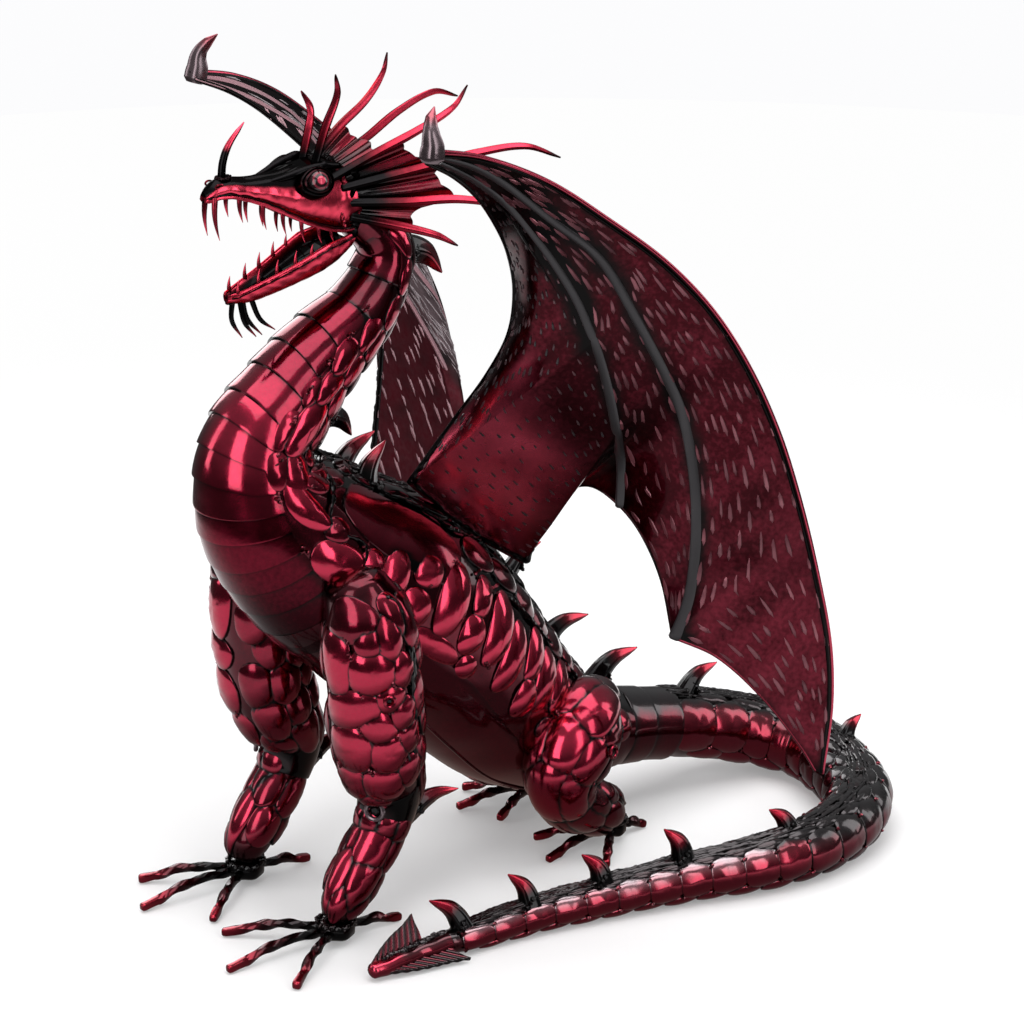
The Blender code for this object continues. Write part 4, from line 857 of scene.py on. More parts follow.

# side scales: share of length, angle above the side, half length, half width, turn, taper, tone, soot
# A high tone in these tables is partly a painted highlight, given to plates that caught the light; side_scales raises
# the higher tones a quarter more.
NECK = [
    (0.150, 4, 0.0200, 0.0110, 6, 0.30, 0.45, 0.08), (0.190, -8, 0.0210, 0.0110, 10, 0.30, 0.40, 0.14),
    (0.225, 2, 0.0230, 0.0120, -6, 0.25, 0.55, 0.06), (0.240, -14, 0.0170, 0.0100, 10, 0.25, 0.40, 0.18),
    (0.272, 4, 0.0330, 0.0160, -6, 0.10, 0.80, 0.02), (0.285, -17, 0.0190, 0.0105, 6, 0.30, 0.55, 0.14),
    (0.325, 10, 0.0230, 0.0160, 0, 0.15, 0.65, 0.06), (0.322, -12, 0.0150, 0.0110, 6, 0.30, 0.45, 0.20),
    (0.047, 22, 0.0160, 0.0105, 0, 0.15, 0.60, 0.22), (0.082, 24, 0.0160, 0.0105, 0, 0.15, 0.60, 0.22),
    (0.117, 26, 0.0170, 0.0110, 0, 0.15, 0.50, 0.24), (0.153, 30, 0.0180, 0.0110, 0, 0.15, 0.50, 0.20),
    (0.190, 24, 0.0190, 0.0120, -4, 0.15, 0.55, 0.14), (0.228, 30, 0.0190, 0.0125, -4, 0.15, 0.50, 0.20),
    (0.266, 34, 0.0190, 0.0125, -4, 0.15, 0.45, 0.26), (0.304, 36, 0.0180, 0.0130, 0, 0.15, 0.45, 0.28),
    (0.341, 40, 0.0160, 0.0135, 0, 0.15, 0.40, 0.34),
    (0.060, 56, 0.0165, 0.0085, 0, 0.3, 0.30, 0.60), (0.094, 56, 0.0165, 0.0085, 0, 0.3, 0.30, 0.62),
    (0.128, 56, 0.0165, 0.0090, 0, 0.3, 0.30, 0.62), (0.162, 58, 0.0165, 0.0095, 0, 0.3, 0.30, 0.62),
    (0.196, 57, 0.0165, 0.0100, 0, 0.3, 0.30, 0.60), (0.230, 60, 0.0165, 0.0100, 0, 0.3, 0.30, 0.62),
    (0.264, 62, 0.0165, 0.0105, 0, 0.3, 0.30, 0.64), (0.298, 64, 0.0165, 0.0110, 0, 0.3, 0.30, 0.66),
    (0.332, 66, 0.0160, 0.0115, 0, 0.3, 0.30, 0.70),
    (0.077, 78, 0.0165, 0.0060, 0, 0.3, 0.30, 0.85), (0.111, 78, 0.0165, 0.0060, 0, 0.3, 0.30, 0.85),
    (0.145, 79, 0.0165, 0.0065, 0, 0.3, 0.30, 0.85), (0.179, 79, 0.0165, 0.0065, 0, 0.3, 0.30, 0.85),
    (0.213, 80, 0.0165, 0.0065, 0, 0.3, 0.30, 0.85), (0.247, 80, 0.0165, 0.0070, 0, 0.3, 0.30, 0.85),
    (0.281, 81, 0.0165, 0.0070, 0, 0.3, 0.30, 0.86), (0.315, 82, 0.0165, 0.0075, 0, 0.3, 0.30, 0.88),
]
TORSO = [
    (0.370, 5, 0.0350, 0.0135, 12, 0.35, 0.80, 0.02), (0.438, -3, 0.0300, 0.0190, 14, 0.05, 0.95, 0.0),
    (0.352, 26, 0.0190, 0.0110, 20, 0.20, 0.30, 0.24), (0.372, 48, 0.0200, 0.0130, 0, 0.1, 0.25, 0.50),
    (0.492, 37, 0.0820, 0.0290, -5, 0.0, 0.14, 0.12),
    (0.414, 12, 0.0150, 0.0120, 0, 0.1, 0.25, 0.30),
    (0.474, 6, 0.0170, 0.0190, 0, 0.1, 0.85, 0.04), (0.507, 9, 0.0165, 0.0290, 6, 0.1, 0.90, 0.02),
    (0.546, 22, 0.0170, 0.0170, 0, 0.1, 0.90, 0.02), (0.548, -2, 0.0200, 0.0205, 10, 0.1, 0.85, 0.03),
    (0.590, 15, 0.0190, 0.0370, 12, 0.1, 0.90, 0.02), (0.627, 28, 0.0120, 0.0210, 12, 0.1, 0.55, 0.14),
    (0.636, 6, 0.0160, 0.0200, 14, 0.15, 0.75, 0.05), (0.668, 20, 0.0165, 0.0370, 16, 0.2, 0.80, 0.04),
    (0.705, 14, 0.0160, 0.0360, 16, 0.2, 0.70, 0.08), (0.738, 30, 0.0150, 0.0310, 16, 0.2, 0.60, 0.12),
    (0.756, 2, 0.0150, 0.0200, 16, 0.2, 0.60, 0.12),
    (0.772, 22, 0.0170, 0.0330, 14, 0.2, 0.55, 0.14), (0.806, 30, 0.0160, 0.0310, 12, 0.2, 0.50, 0.20),
    (0.836, 20, 0.0170, 0.0290, 10, 0.2, 0.45, 0.22), (0.868, 30, 0.0170, 0.0270, 8, 0.1, 0.45, 0.24),
    (0.902, 22, 0.0175, 0.0250, 4, 0.1, 0.40, 0.26), (0.936, 30, 0.0170, 0.0220, 0, 0.1, 0.40, 0.28),
    (0.964, 22, 0.0150, 0.0180, 0, 0.1, 0.40, 0.30),
    (0.600, -12, 0.0360, 0.0125, 2, 0.05, 0.75, 0.04), (0.655, -10, 0.0130, 0.0120, 0, 0.1, 0.60, 0.10),
    (0.822, -2, 0.0200, 0.0120, 4, 0.1, 0.25, 0.30),
    (0.866, 0, 0.0200, 0.0140, 0, 0.1, 0.25, 0.32), (0.910, 0, 0.0200, 0.0140, 0, 0.1, 0.25, 0.32),
    (0.520, -19, 0.0230, 0.0130, 2, 0.1, 0.45, 0.14), (0.562, -23, 0.0200, 0.0110, 2, 0.1, 0.25, 0.28),
    (0.478, -17, 0.0210, 0.0130, 2, 0.1, 0.60, 0.10),
    (0.610, 52, 0.0230, 0.0170, 0, 0.1, 0.25, 0.42), (0.545, 70, 0.0260, 0.0120, 0, 0.1, 0.25, 0.78),
    (0.600, 72, 0.0220, 0.0130, 0, 0.1, 0.30, 0.76), (0.655, 54, 0.0200, 0.0160, 0, 0.1, 0.25, 0.56),
    (0.648, 73, 0.0210, 0.0130, 0, 0.1, 0.30, 0.78), (0.696, 53, 0.0200, 0.0160, 0, 0.1, 0.25, 0.56),
    (0.694, 73, 0.0210, 0.0120, 0, 0.1, 0.30, 0.80), (0.736, 56, 0.0200, 0.0160, 0, 0.1, 0.25, 0.58),
    (0.740, 74, 0.0210, 0.0115, 0, 0.1, 0.30, 0.80), (0.777, 55, 0.0200, 0.0160, 0, 0.1, 0.30, 0.56),
    (0.786, 73, 0.0210, 0.0115, 0, 0.1, 0.30, 0.80), (0.817, 56, 0.0200, 0.0160, 0, 0.1, 0.40, 0.48),
    (0.832, 74, 0.0210, 0.0115, 0, 0.1, 0.30, 0.76), (0.858, 55, 0.0210, 0.0160, 0, 0.1, 0.45, 0.44),
    (0.878, 74, 0.0200, 0.0110, 0, 0.1, 0.35, 0.72), (0.898, 55, 0.0200, 0.0150, 0, 0.1, 0.40, 0.50),
    (0.922, 74, 0.0190, 0.0110, 0, 0.1, 0.30, 0.76), (0.938, 56, 0.0190, 0.0140, 0, 0.1, 0.35, 0.54),
    (0.490, 69, 0.0260, 0.0110, 0, 0.1, 0.25, 0.78), (0.435, 68, 0.0240, 0.0120, 0, 0.1, 0.25, 0.76),
    (0.392, 68, 0.0180, 0.0130, 0, 0.1, 0.25, 0.72),
]


def side_scales(shape, limb, table, seed, dome=0.0034):
    scales = Scales(shape, limb)
    for side in (1, -1):
        for k, (s, th, la, lb, turn, point, tone, soot) in enumerate(table):
            angle = th if side > 0 else 180 - th
            large = la > 0.05
            scales.add(s, angle, la, lb, turn * side, dome=0.0026 if large else min(0.0058, 1.3 * dome * (0.45 + 36 * min(la, lb))),
                       lift=0.0002 + 0.0004 * ((k * 5) % 3), point=point, tip=0.0006, soot=soot, tone=min(1.0, tone * (1.25 if 0.3 < tone else 1.0)),
                       power=3.4 if large else 2.05 + 0.2 * ((k * 7) % 3), seed=seed + k, bump=0.0004)
    scales.build()


neck_scales = Shape("neck_scales")
side_scales(neck_scales, BODY, NECK, 20, 0.0026)
neck_scales.build(BODY_RED, "red_lacquer")
flank = Shape("flank_scales")
side_scales(flank, BODY, TORSO, 90, 0.0036)
flank.build(BODY_RED, "red_lacquer")

welds = Shape("body_weld_beads")
for k, (th, size) in enumerate(((90, 0.0028), (82, 0.0022), (98, 0.0022), (75, 0.0018), (105, 0.0018), (86, 0.0020), (94, 0.0020), (68, 0.0014),
                                (112, 0.0014))):
    ss = np.linspace(0.40, 0.985, 160)
    weld_run(welds, BODY.at(ss, np.radians(th + 2.5 * np.sin(ss * 40 + 2 * k)), 0.0022), size, 11 + k)
for k, th in enumerate((90, 83, 97, 76, 104)):
    ss = np.linspace(0.06, 0.40, 120)
    weld_run(welds, BODY.at(ss, np.radians(th + 2 * np.sin(ss * 60 + 2 * k)), 0.0016), 0.0018 - 0.0002 * (k // 2), 31 + k)
for side in (1, -1):
    for k, (s, th) in enumerate(((0.132, -28), (0.168, -22), (0.204, -21), (0.240, -20), (0.276, -16), (0.312, -12), (0.318, 12),
                                 (0.344, -14), (0.350, 20), (0.400, -14), (0.410, 14), (0.455, 16), (0.458, -16), (0.490, -8),
                                 (0.535, -6), (0.552, 15), (0.575, 34), (0.610, 38), (0.640, 38), (0.676, -1), (0.715, 4),
                                 (0.755, 9), (0.795, 14), (0.835, 15), (0.880, 14), (0.925, 14))):
        angle = math.radians(th if side > 0 else 180 - th)
        for j in range(3):
            blob(welds, BODY.at(s + 0.004 * (j - 1), angle + 0.03 * math.sin(3 * j + k), 0.0024), 0.0021 - 0.0003 * abs(j - 1),
                 (0, 1, 0.4), 1.4, 0.22, 500 + k * 3 + j, 0.55, 0.5)
    # the seam where the shoulder is welded on, and the strips at the wing root
    for k, (line, size) in enumerate((([(0.338, 44), (0.372, 38), (0.405, 12), (0.452, 17), (0.470, -14)], 0.0026),
                                      ([(0.455, 62), (0.50, 62), (0.56, 56), (0.62, 66), (0.70, 72)], 0.0030),
                                      ([(0.66, 40), (0.72, 46), (0.78, 49), (0.84, 48), (0.92, 47)], 0.0022))):
        pts = spline([(a, b if side > 0 else 180 - b, 0.0) for a, b in line], 60)
        weld_run(welds, BODY.at(pts[:, 0], np.radians(pts[:, 1]), 0.0022), size * 0.9, 61 + k)
for s, th in ((0.552, 22), (0.318, 10)):
    # small raised ring and knob beside the shoulder
    c = BODY.at(s, math.radians(th), 0.0035)
    n = BODY.at(s, math.radians(th), 0.01) - c
    n /= np.linalg.norm(n)
    u = np.cross(n, (0, 0, 1.0))
    u /= np.linalg.norm(u)
    w = np.cross(n, u)
    ang = np.linspace(0, TAU, 25)
    tube(welds, c + 0.0042 * (np.cos(ang)[:, None] * u + np.sin(ang)[:, None] * w), 0.0014, 6, soot=0.7, tone=0.4, rounded=False)
welds.build(BODY_RED, "red_lacquer")


# ---------------------------------------------------------------- legs
def leg_stations(end, sign):
    pts = [list(p) for p in (FRONT_LEG if end == "front" else REAR_LEG)]
    if sign < 0:
        for p in pts:
            if end == "front":
                p[1] -= float(np.interp(p[2], [0.02, 0.06, 0.14, 0.21], [0.0, RIGHT_LEG_FORWARD[0], 0.004, RIGHT_LEG_FORWARD[1]]))
            p[0] = -p[0]
    if end == "front":
        # the plates stand on the limb, so the sheet under them sits inside the outline
        for p in pts:
            less = float(np.interp(p[2], [0.02, 0.06, 0.11, 0.14, 0.18, 0.27], [0.76, 0.84, 0.88, 0.96, 0.97, 0.98]))
            for k in range(3, len(p)):
                p[k] = (p[k] - 0.0025) * less
    return pts


# share of length, angle (0 outwards, -90 forwards), half length, half width, turn, taper, tone, soot
# A high tone here and in REAR_SCALES is partly a painted highlight, given to plates that caught the light.
FRONT_SCALES = [
    (0.050, -54, 0.0240, 0.0290, 0, -0.25, 0.15, 0.22), (0.165, -84, 0.0380, 0.0210, 4, 0.10, 0.80, 0.02),
    (0.115, -7, 0.0210, 0.0165, 0, 0.30, 0.55, 0.08), (0.070, 13, 0.0200, 0.0130, 18, 0.20, 0.30, 0.22),
    (0.112, -34, 0.0150, 0.0140, 0, 0.10, 0.35, 0.12), (0.192, -34, 0.0235, 0.0260, 0, 0.0, 0.80, 0.02),
    (0.205, 8, 0.0185, 0.0170, 0, 0.10, 0.65, 0.06), (0.300, -66, 0.0200, 0.0330, 14, 0.0, 0.75, 0.02),
    (0.272, -12, 0.0150, 0.0170, 0, 0.0, 0.60, 0.06), (0.352, -30, 0.0165, 0.0250, -38, 0.05, 0.75, 0.03),
    (0.325, 6, 0.0180, 0.0150, 0, 0.10, 0.50, 0.10), (0.418, -72, 0.0240, 0.0275, 8, 0.05, 0.80, 0.02),
    (0.432, -18, 0.0235, 0.0225, -10, 0.05, 0.85, 0.02), (0.398, 12, 0.0180, 0.0150, 0, 0.1, 0.45, 0.16),
    (0.528, -30, 0.0200, 0.0230, 0, 0.10, 0.75, 0.03), (0.520, -84, 0.0220, 0.0220, 6, 0.10, 0.60, 0.06),
    (0.510, 10, 0.0200, 0.0170, 0, 0.10, 0.45, 0.16), (0.590, -58, 0.0165, 0.0180, 0, 0.10, 0.45, 0.12),
    (0.775, -100, 0.0250, 0.0190, 0, 0.10, 0.50, 0.10), (0.780, -38, 0.0300, 0.0210, 8, 0.10, 0.70, 0.04),
    (0.770, 24, 0.0250, 0.0170, 0, 0.10, 0.40, 0.18), (0.885, -78, 0.0400, 0.0185, 2, 0.25, 0.80, 0.03),
    (0.875, -20, 0.0330, 0.0190, 4, 0.15, 0.50, 0.12), (0.950, -48, 0.0230, 0.0130, 0, 0.25, 0.60, 0.12),
    (0.935, 12, 0.0230, 0.0160, 0, 0.2, 0.30, 0.22),
]
REAR_SCALES = [
    (0.14, -76, 0.0260, 0.0240, 0, 0.1, 0.35, 0.16), (0.17, -30, 0.0280, 0.0270, 10, 0.1, 0.50, 0.12),
    (0.21, 14, 0.0250, 0.0240, 0, 0.1, 0.20, 0.34), (0.335, -52, 0.0270, 0.0320, 8, 0.05, 0.90, 0.0),
    (0.36, -100, 0.0240, 0.0240, 0, 0.1, 0.60, 0.06), (0.37, -4, 0.0260, 0.0240, -8, 0.1, 0.55, 0.12),
    (0.39, 38, 0.0230, 0.0190, 0, 0.1, 0.25, 0.45), (0.50, -70, 0.0240, 0.0260, 0, 0.1, 0.65, 0.04),
    (0.53, -22, 0.0240, 0.0240, 0, 0.1, 0.60, 0.06), (0.56, 20, 0.0220, 0.0200, 0, 0.1, 0.30, 0.30),
    (0.67, -84, 0.0270, 0.0230, 0, 0.1, 0.20, 0.16), (0.69, -32, 0.0280, 0.0230, 0, 0.1, 0.20, 0.16),
    (0.70, 16, 0.0260, 0.0190, 0, 0.1, 0.15, 0.30), (0.87, -62, 0.0270, 0.0200, 0, 0.15, 0.15, 0.22),
    (0.88, -4, 0.0260, 0.0180, 0, 0.15, 0.15, 0.26),
]

LIMBS = {}
for side_name, sign in (("left", 1), ("right", -1)):
    for end in ("front", "rear"):
        key = f"{end}_leg_{side_name}"
        limb = Limb(leg_stations(end, sign), floor=True)
        LIMBS[key] = limb
        piece = Shape(key + "_plates")
        top = 0.0 if end == "front" else 0.0
        skin(piece, limb, 90, 48, -0.0004, lambda S, TH: 0.52 + 0.3 * smooth(np.sin(TH), 0.3, 0.9), lambda S, TH: 0.10 + 0 * S, dome=(0.020, 0.004))
        table = list(FRONT_SCALES if end == "front" else REAR_SCALES)
        shown = len(table)
        # plainer rows of the same scales on the inner and rear faces
        rng = np.random.default_rng(17 if end == "front" else 23)
        start = 0.10 if end == "front" else 0.20
        pitch = 0.098 if end == "front" else 0.150
        row, s = 0, start
        while s < 0.965:
            r = float(limb.radius(s))
            step = math.degrees(0.0310 / r)
            angles = np.arange(42 if end == "front" else 60, 236, step)
            for a in angles + (0.5 * step if row % 2 else 0):
                if end == "front" and 0.60 < s < 0.70:
                    continue
                table.append((s + rng.uniform(-0.008, 0.008), a + rng.uniform(-3, 3), pitch * limb.len * 0.68, 0.0185, rng.uniform(-12, 12),
                              0.12, rng.uniform(0.25, 0.55), 0.12 + 0.25 * smooth(math.sin(math.radians(a)), 0.2, 1.0)))
            s += pitch
            row += 1
        scales = Scales(piece, limb)
        for k, (s, th, la, lb, turn, point, tone, soot) in enumerate(table):
            angle = th if sign > 0 else 180 - th
            # the right legs' plates get 0.14 more black: painted shade on the far side
            scales.add(s, angle, la, lb, turn * sign, dome=0.0030 + 0.098 * min(la, lb), lift=0.0001 + 0.0006 * ((k * 5) % 3), point=point,
                       tip=0.0006, soot=soot + (0.14 if sign < 0 else 0.0), tone=tone, power=2.05 + 0.2 * ((k * 5) % 3), seed=300 + k, bump=0.0005,
                       segs=26 if k < shown else 20)
        if end == "front":
            # small plates lapped over the sleeve's lower edge
            for th, half_w in ((-104, 0.0150), (-66, 0.0170), (-28, 0.0165), (10, 0.0150)):
                angle = th if sign > 0 else 180 - th
                scales.add(0.712, angle, 0.0130, half_w, 0, dome=0.0034, lift=0.0022, point=0.0, tip=0.0006, soot=0.30, tone=0.45, power=2.3,
                           seed=480 + th, bump=0.0005)
        scales.build()
        turn_to = (lambda th: th) if sign > 0 else (lambda th: 180 - th)
        if end == "front":
            # smooth elbow sleeve
            sleeve(piece, limb, 0.600, 0.730, 0.0016, 0.0034, lambda s, th: 0.80 + 0 * s, 0.08)
            # welded ridge over the shoulder and down the back edge of the leg
            for j, (line, size) in enumerate((([(0.03, 12), (0.08, 24), (0.20, 22), (0.33, 18), (0.45, 8), (0.55, 6)], 0.0026),
                                              ([(0.06, 30), (0.10, 28), (0.25, 27), (0.38, 24), (0.50, 16)], 0.0020))):
                pts = spline([(a, turn_to(b), 0.0) for a, b in line], 60)
                weld_run(piece, limb.at(pts[:, 0], np.radians(pts[:, 1]), 0.0020), size, 71 + j)
            spots = ((0.145, -57), (0.10, -62), (0.25, -48), (0.235, -8), (0.36, -52), (0.39, -5), (0.475, -45), (0.47, -93),
                     (0.56, -42), (0.62, -42), (0.67, -72), (0.75, -70), (0.77, -40), (0.84, -50), (0.87, -85))
            # a small raised eye-ring near the elbow, and the ring with a dark hole on the upper arm
            rings = ((0.655, -57, 0.0088), (0.272, -16, 0.0050))
        else:
            line = [(0.10, 40), (0.22, 44), (0.34, 46), (0.46, 40), (0.56, 32)]
            for k, off in enumerate((0, 12, 24, -14)):
                pts = spline([(a, turn_to(b + off), 0.0) for a, b in line], 50)
                weld_run(piece, limb.at(pts[:, 0], np.radians(pts[:, 1]), 0.0020), 0.0022, 81 + k)
            spots = ((0.22, -92), (0.26, -76), (0.27, -8), (0.43, -70), (0.44, -22), (0.45, 12), (0.57, -48), (0.58, -5), (0.70, -60),
                     (0.70, -20), (0.83, -40))
            rings = ((0.30, 14, 0.0060),)
        for k, (s, th) in enumerate(spots):
            for j in range(3):
                p = limb.at(s + 0.008 * (j - 1), math.radians(turn_to(th + 2 * (j - 1))), 0.0022)
                blob(piece, p, 0.0021, (0, 0.3, 1), 1.2, 0.22, 900 + k * 3 + j, 0.55, 0.5)
        rings_grey = Shape(key + "_eye_ring")
        for s, th, r in rings:
            c = limb.at(s, math.radians(turn_to(th)), 0.0056 if s > 0.6 else 0.0066)
            n = limb.at(s, math.radians(turn_to(th)), 0.014) - c
            n /= np.linalg.norm(n)
            u = np.cross(n, (0, 0, 1.0))
            u /= np.linalg.norm(u)
            w = np.cross(n, u)
            ang = np.linspace(0, TAU, 29)
            host = rings_grey if s > 0.6 else piece
            tube(host, c + r * (np.cos(ang)[:, None] * u + np.sin(ang)[:, None] * w), 0.0024 if s > 0.6 else 0.0018, 9,
                 soot=1.0 if s > 0.6 else 0.30, tone=0.6, rounded=False, side=tuple(n))
            # a black dome sunk inside each ring: painted shade standing in for the hole's dark
            blob(piece, c - n * 0.0020, r * 0.62, n, 0.6, 0.05, 7, 0.97, 0.0)
        piece.build(BODY_RED, "red_lacquer", [key])
        if end == "front":
            rings_grey.build(CLAW_GREY, "red_lacquer")


# ---------------------------------------------------------------- feet: twisted square bars
for name, spec in FEET_PLAN.items():
    piece = Shape(name + "_toes")
    ax, ay = spec["ankle"]
    front = name.startswith("front")
    # welded ankle block
    ang = np.arange(28) * TAU / 28
    rows = []
    for z, r in ((0.0062, 0.55), (0.0068, 0.86), (0.0095, 1.0), (0.0150, 1.02), (0.0200, 0.97), (0.0225, 0.86), (0.0232, 0.5)):
        rr = spec["hub"] * r * (1 + 0.05 * np.cos(4 * ang) + 0.03 * np.cos(7 * ang + 1))
        rows.append(np.stack([ax + rr * np.cos(ang), ay + rr * np.sin(ang), np.full(28, z)], -1))
    piece.grid(np.array(rows), soot=0.85, tone=0.1)
    for k, (tx, ty) in enumerate(spec["toes"] + [spec["back"]]):
        rise = spec["rise"] if k < 3 else BACK_TOE_RISE
        a, b = np.array([ax, ay, 0.0]), np.array([tx, ty, 0.0])
        length = np.linalg.norm(b - a)
        way = (b - a) / length
        start = a + way * 0.004
        knuckle = length * 0.60
        pts = [tuple(start + np.array([0, 0, 0.0125])), tuple(a + way * knuckle * 0.5 + np.array([0, 0, rise * 0.93])),
               tuple(a + way * knuckle + np.array([0, 0, rise * 0.90])),
               tuple(a + way * (knuckle + length) / 2 + np.array([0, 0, rise * 0.52])),
               tuple(b - way * 0.001 + np.array([0, 0, 0.0042]))]
        n = 44
        s = spline(pts, n)
        # hammered knuckles along the bar
        share = np.linspace(0, 1, n)
        s += np.stack([np.zeros(n), np.zeros(n), 0.0006 * np.sin(share * 19 + k)], -1) * (share < 0.85)[:, None]
        s[:, 2] = np.maximum(s[:, 2], 0.0046)
        rad = 0.0040 * (1 + 0.07 * np.sin(share * 23 + 2 * k)) * (1 + 0.10 * np.exp(-((share - 0.60) / 0.08)**2))
        rad[-2:] *= (0.99, 0.93)
        twist = (2.0 if k < 3 else 1.0) * math.pi * np.clip(1 - share / 0.85, 0, 1)
        tube(piece, s, rad, 16, soot=0.88 - 0.60 * smooth(share, 0.25, 0.95), tone=0.05 + 0.65 * smooth(share, 0.60, 1.0)**1.5,
             power=5.0, turn=twist, side=lambda v: np.cross(v, (0, 0, 1.0)))
    for j in range(16):
        a = TAU * j / 16
        blob(piece, (ax + spec["hub"] * 0.96 * math.cos(a), ay + spec["hub"] * 0.96 * math.sin(a), 0.0215 + 0.001 * math.sin(5 * a)), 0.0030,
             (-math.sin(a), math.cos(a), 0.2), 1.4, 0.2, 40 + j, 0.85, 0.3)
    piece.build(HORN_RED, "dark_red_lacquer", [name], sharp=50)

# ---------------------------------------------------------------- tail
TAIL_LIMB = Limb(TAIL, flat_side, floor=True)
tail = Shape("tail_plates")
tail_side = Shape("tail_side_plates")
skin(tail, TAIL_LIMB, 200, 44, -0.0005, lambda S, TH: 0.45 + 0.45 * smooth(np.sin(TH), 0.1, 0.8), lambda S, TH: 0.10 + 0 * S, dome=(0.0, 0.004))
joints = [0.075, 0.128, 0.180, 0.232, 0.284]
while joints[-1] < 0.955:
    joints.append(joints[-1] + 0.0370)
count = len(joints) - 1
tail_scales = Scales(tail, TAIL_LIMB)
for k in range(count):
    s, pitch = (joints[k] + joints[k + 1]) / 2, joints[k + 1] - joints[k]
    r = float(TAIL_LIMB.radius(s))
    half = pitch * TAIL_LIMB.len * 0.53
    far = smooth(s, 0.28, 0.36) * (1 - smooth(s, 0.53, 0.60))          # the loop is nearly all black
    for side in (0, 180):
        flip = 1 if side == 0 else -1
        for th, wide, tone, soot, power in ((17, 0.88, 0.48, 0.12, 3.2), (-42, 0.34, 0.50, 0.04, 2.3), (66, 0.24, 0.20, 0.78, 2.6)):
            angle = side + flip * (th + 3 * math.sin(k * 2.3 + th))
            off = 0.0 if th == 17 else pitch * 0.5
            if s + off > 0.985:
                continue
            # the near run's side plates go to tail_side, where the pale grey brought up over each plate's upper half is
            # a painted reflection
            tail_scales.add(s + off, angle, half * (1.04 if th == 17 else 0.98), r * wide, 0, dome=0.0012 + 0.075 * r, lift=0.0003 + (0.0005 if th == 17 else 0),
                            tip=0.0008, soot=min(1.0, soot + 0.45 * far), tone=tone * (1 - 0.5 * far), power=power, seed=600 + k, bump=0.0004,
                            grad=(0.85 if th == 17 else 0.0) * flip, shape=tail_side if th == 17 and s > 0.60 else tail)
    tail_scales.add(s, 90, half * 0.95, r * 0.34, 0, dome=0.0022, lift=0.0004, tip=0.0012, soot=0.80, tone=0.3, power=2.6, seed=700 + k,
                    bump=0.0008)
    plate(tail, TAIL_LIMB, s, -78 if k % 2 else -102, half, r * 0.30, 0, dome=0.0006, lift=0.0, tip=0.0, soot=0.35, rim=0.4, tone=0.2, power=3, segs=16)
tail_scales.build()
# a smooth collar at the tail's root
sleeve(tail, TAIL_LIMB, 0.0, 0.036, 0.0008, 0.0018, lambda s, th: 0.30 + 0.6 * smooth(np.sin(th), 0.3, 0.9), 0.10)
sleeve(tail, TAIL_LIMB, 0.034, 0.076, 0.0010, 0.0026, lambda s, th: 0.26 + 0.6 * smooth(np.sin(th), 0.3, 0.9), 0.12)
for k, th in enumerate((78, 102, 90, 84, 96, 70, 110)):
    ss = np.linspace(0.07, 0.985, 260)
    weld_run(tail, TAIL_LIMB.at(ss, np.radians(th + 3 * np.sin(ss * 70 + 2 * k)), 0.0026), 0.0019 - 0.0002 * (k // 3), 91 + k)
rng = np.random.default_rng(5)
for k in range(count):
    for side in (0, 180):
        flip = 1 if side == 0 else -1
        for th in (-22, 44):
            p = TAIL_LIMB.at(joints[k + 1], math.radians(side + flip * th), 0.0022)
            blob(tail, p, 0.0020 * rng.uniform(0.8, 1.25), (0, 1, 0.3), 1.2, 0.25, 1200 + k, 0.50, 0.5)
tail.build(TAIL_RED, "red_lacquer", ["tail"])
tail_side.build(TAIL_SIDE_SHEEN, "red_lacquer")

# ---------------------------------------------------------------- horns
for k, (name, base, tip, radius) in enumerate(HORNS):
    b, t = np.array(base), np.array(tip)
    axis = t - b
    bend = HORN_BEND.get(name, (0.0, 0.0, 1.0))
    hook = np.array(bend) - axis * ((axis @ np.array(bend)) / (axis @ axis))
    hook /= np.linalg.norm(hook)
    mid = (b + t) / 2 + hook * np.linalg.norm(axis) * 0.15
    n = 26
    elbow = name.startswith("elbow")
    line = spline([tuple(b - axis * (0.30 if elbow else 0.06)), tuple(mid), tuple(t)], n)
    share = np.linspace(0, 1, n)
    rad = radius * np.interp(share, [0, 0.12, 0.35, 0.6, 0.85, 1.0], [1.0, 0.96, 0.84, 0.64, 0.32, 0.06])
    piece = Shape(name + "_blade")
    blade = np.cross(axis, hook)
    tube(piece, line, rad, 20, soot=0.95 - (0.55 if "shoulder" in name or "neck" in name else 0.90) * smooth(share, 0.28, 0.85), tone=0.10 + 0.85 * smooth(share, 0.40, 0.95),
         side=blade,
         flat=1.15, groove=0.11, grooves=5, power=1.8)
    host = t - b
    ring = np.linspace(0, TAU, 15)[:-1]
    u = blade / np.linalg.norm(blade)
    w = np.cross(axis / np.linalg.norm(axis), u)
    foot_at = 0.26 if radius > 0.0105 else (0.10 if elbow else 0.22)
    c = b + axis * foot_at
    if elbow:
        c = line[9]
        along_it = (line[10] - line[8]) / np.linalg.norm(line[10] - line[8])
        w = np.cross(along_it, u)
    for j, a in enumerate(ring):
        blob(piece, c + radius * (0.74 if elbow else 0.92) * (math.cos(a) * u + 1.05 * math.sin(a) * w) - axis * 0.03 * math.sin(3 * a), radius * 0.24, u, 1.3, 0.25,
             2000 + 20 * k + j, 0.92, 0.3)
    piece.build(HORN_RED, "dark_red_lacquer", [name], sharp=60)


# ---------------------------------------------------------------- head
def along(table, y, column):
    t = np.array(table, float)
    return np.interp(y, t[:, 0], t[:, column])


def fan(n):
    return np.arange(n) * TAU / n


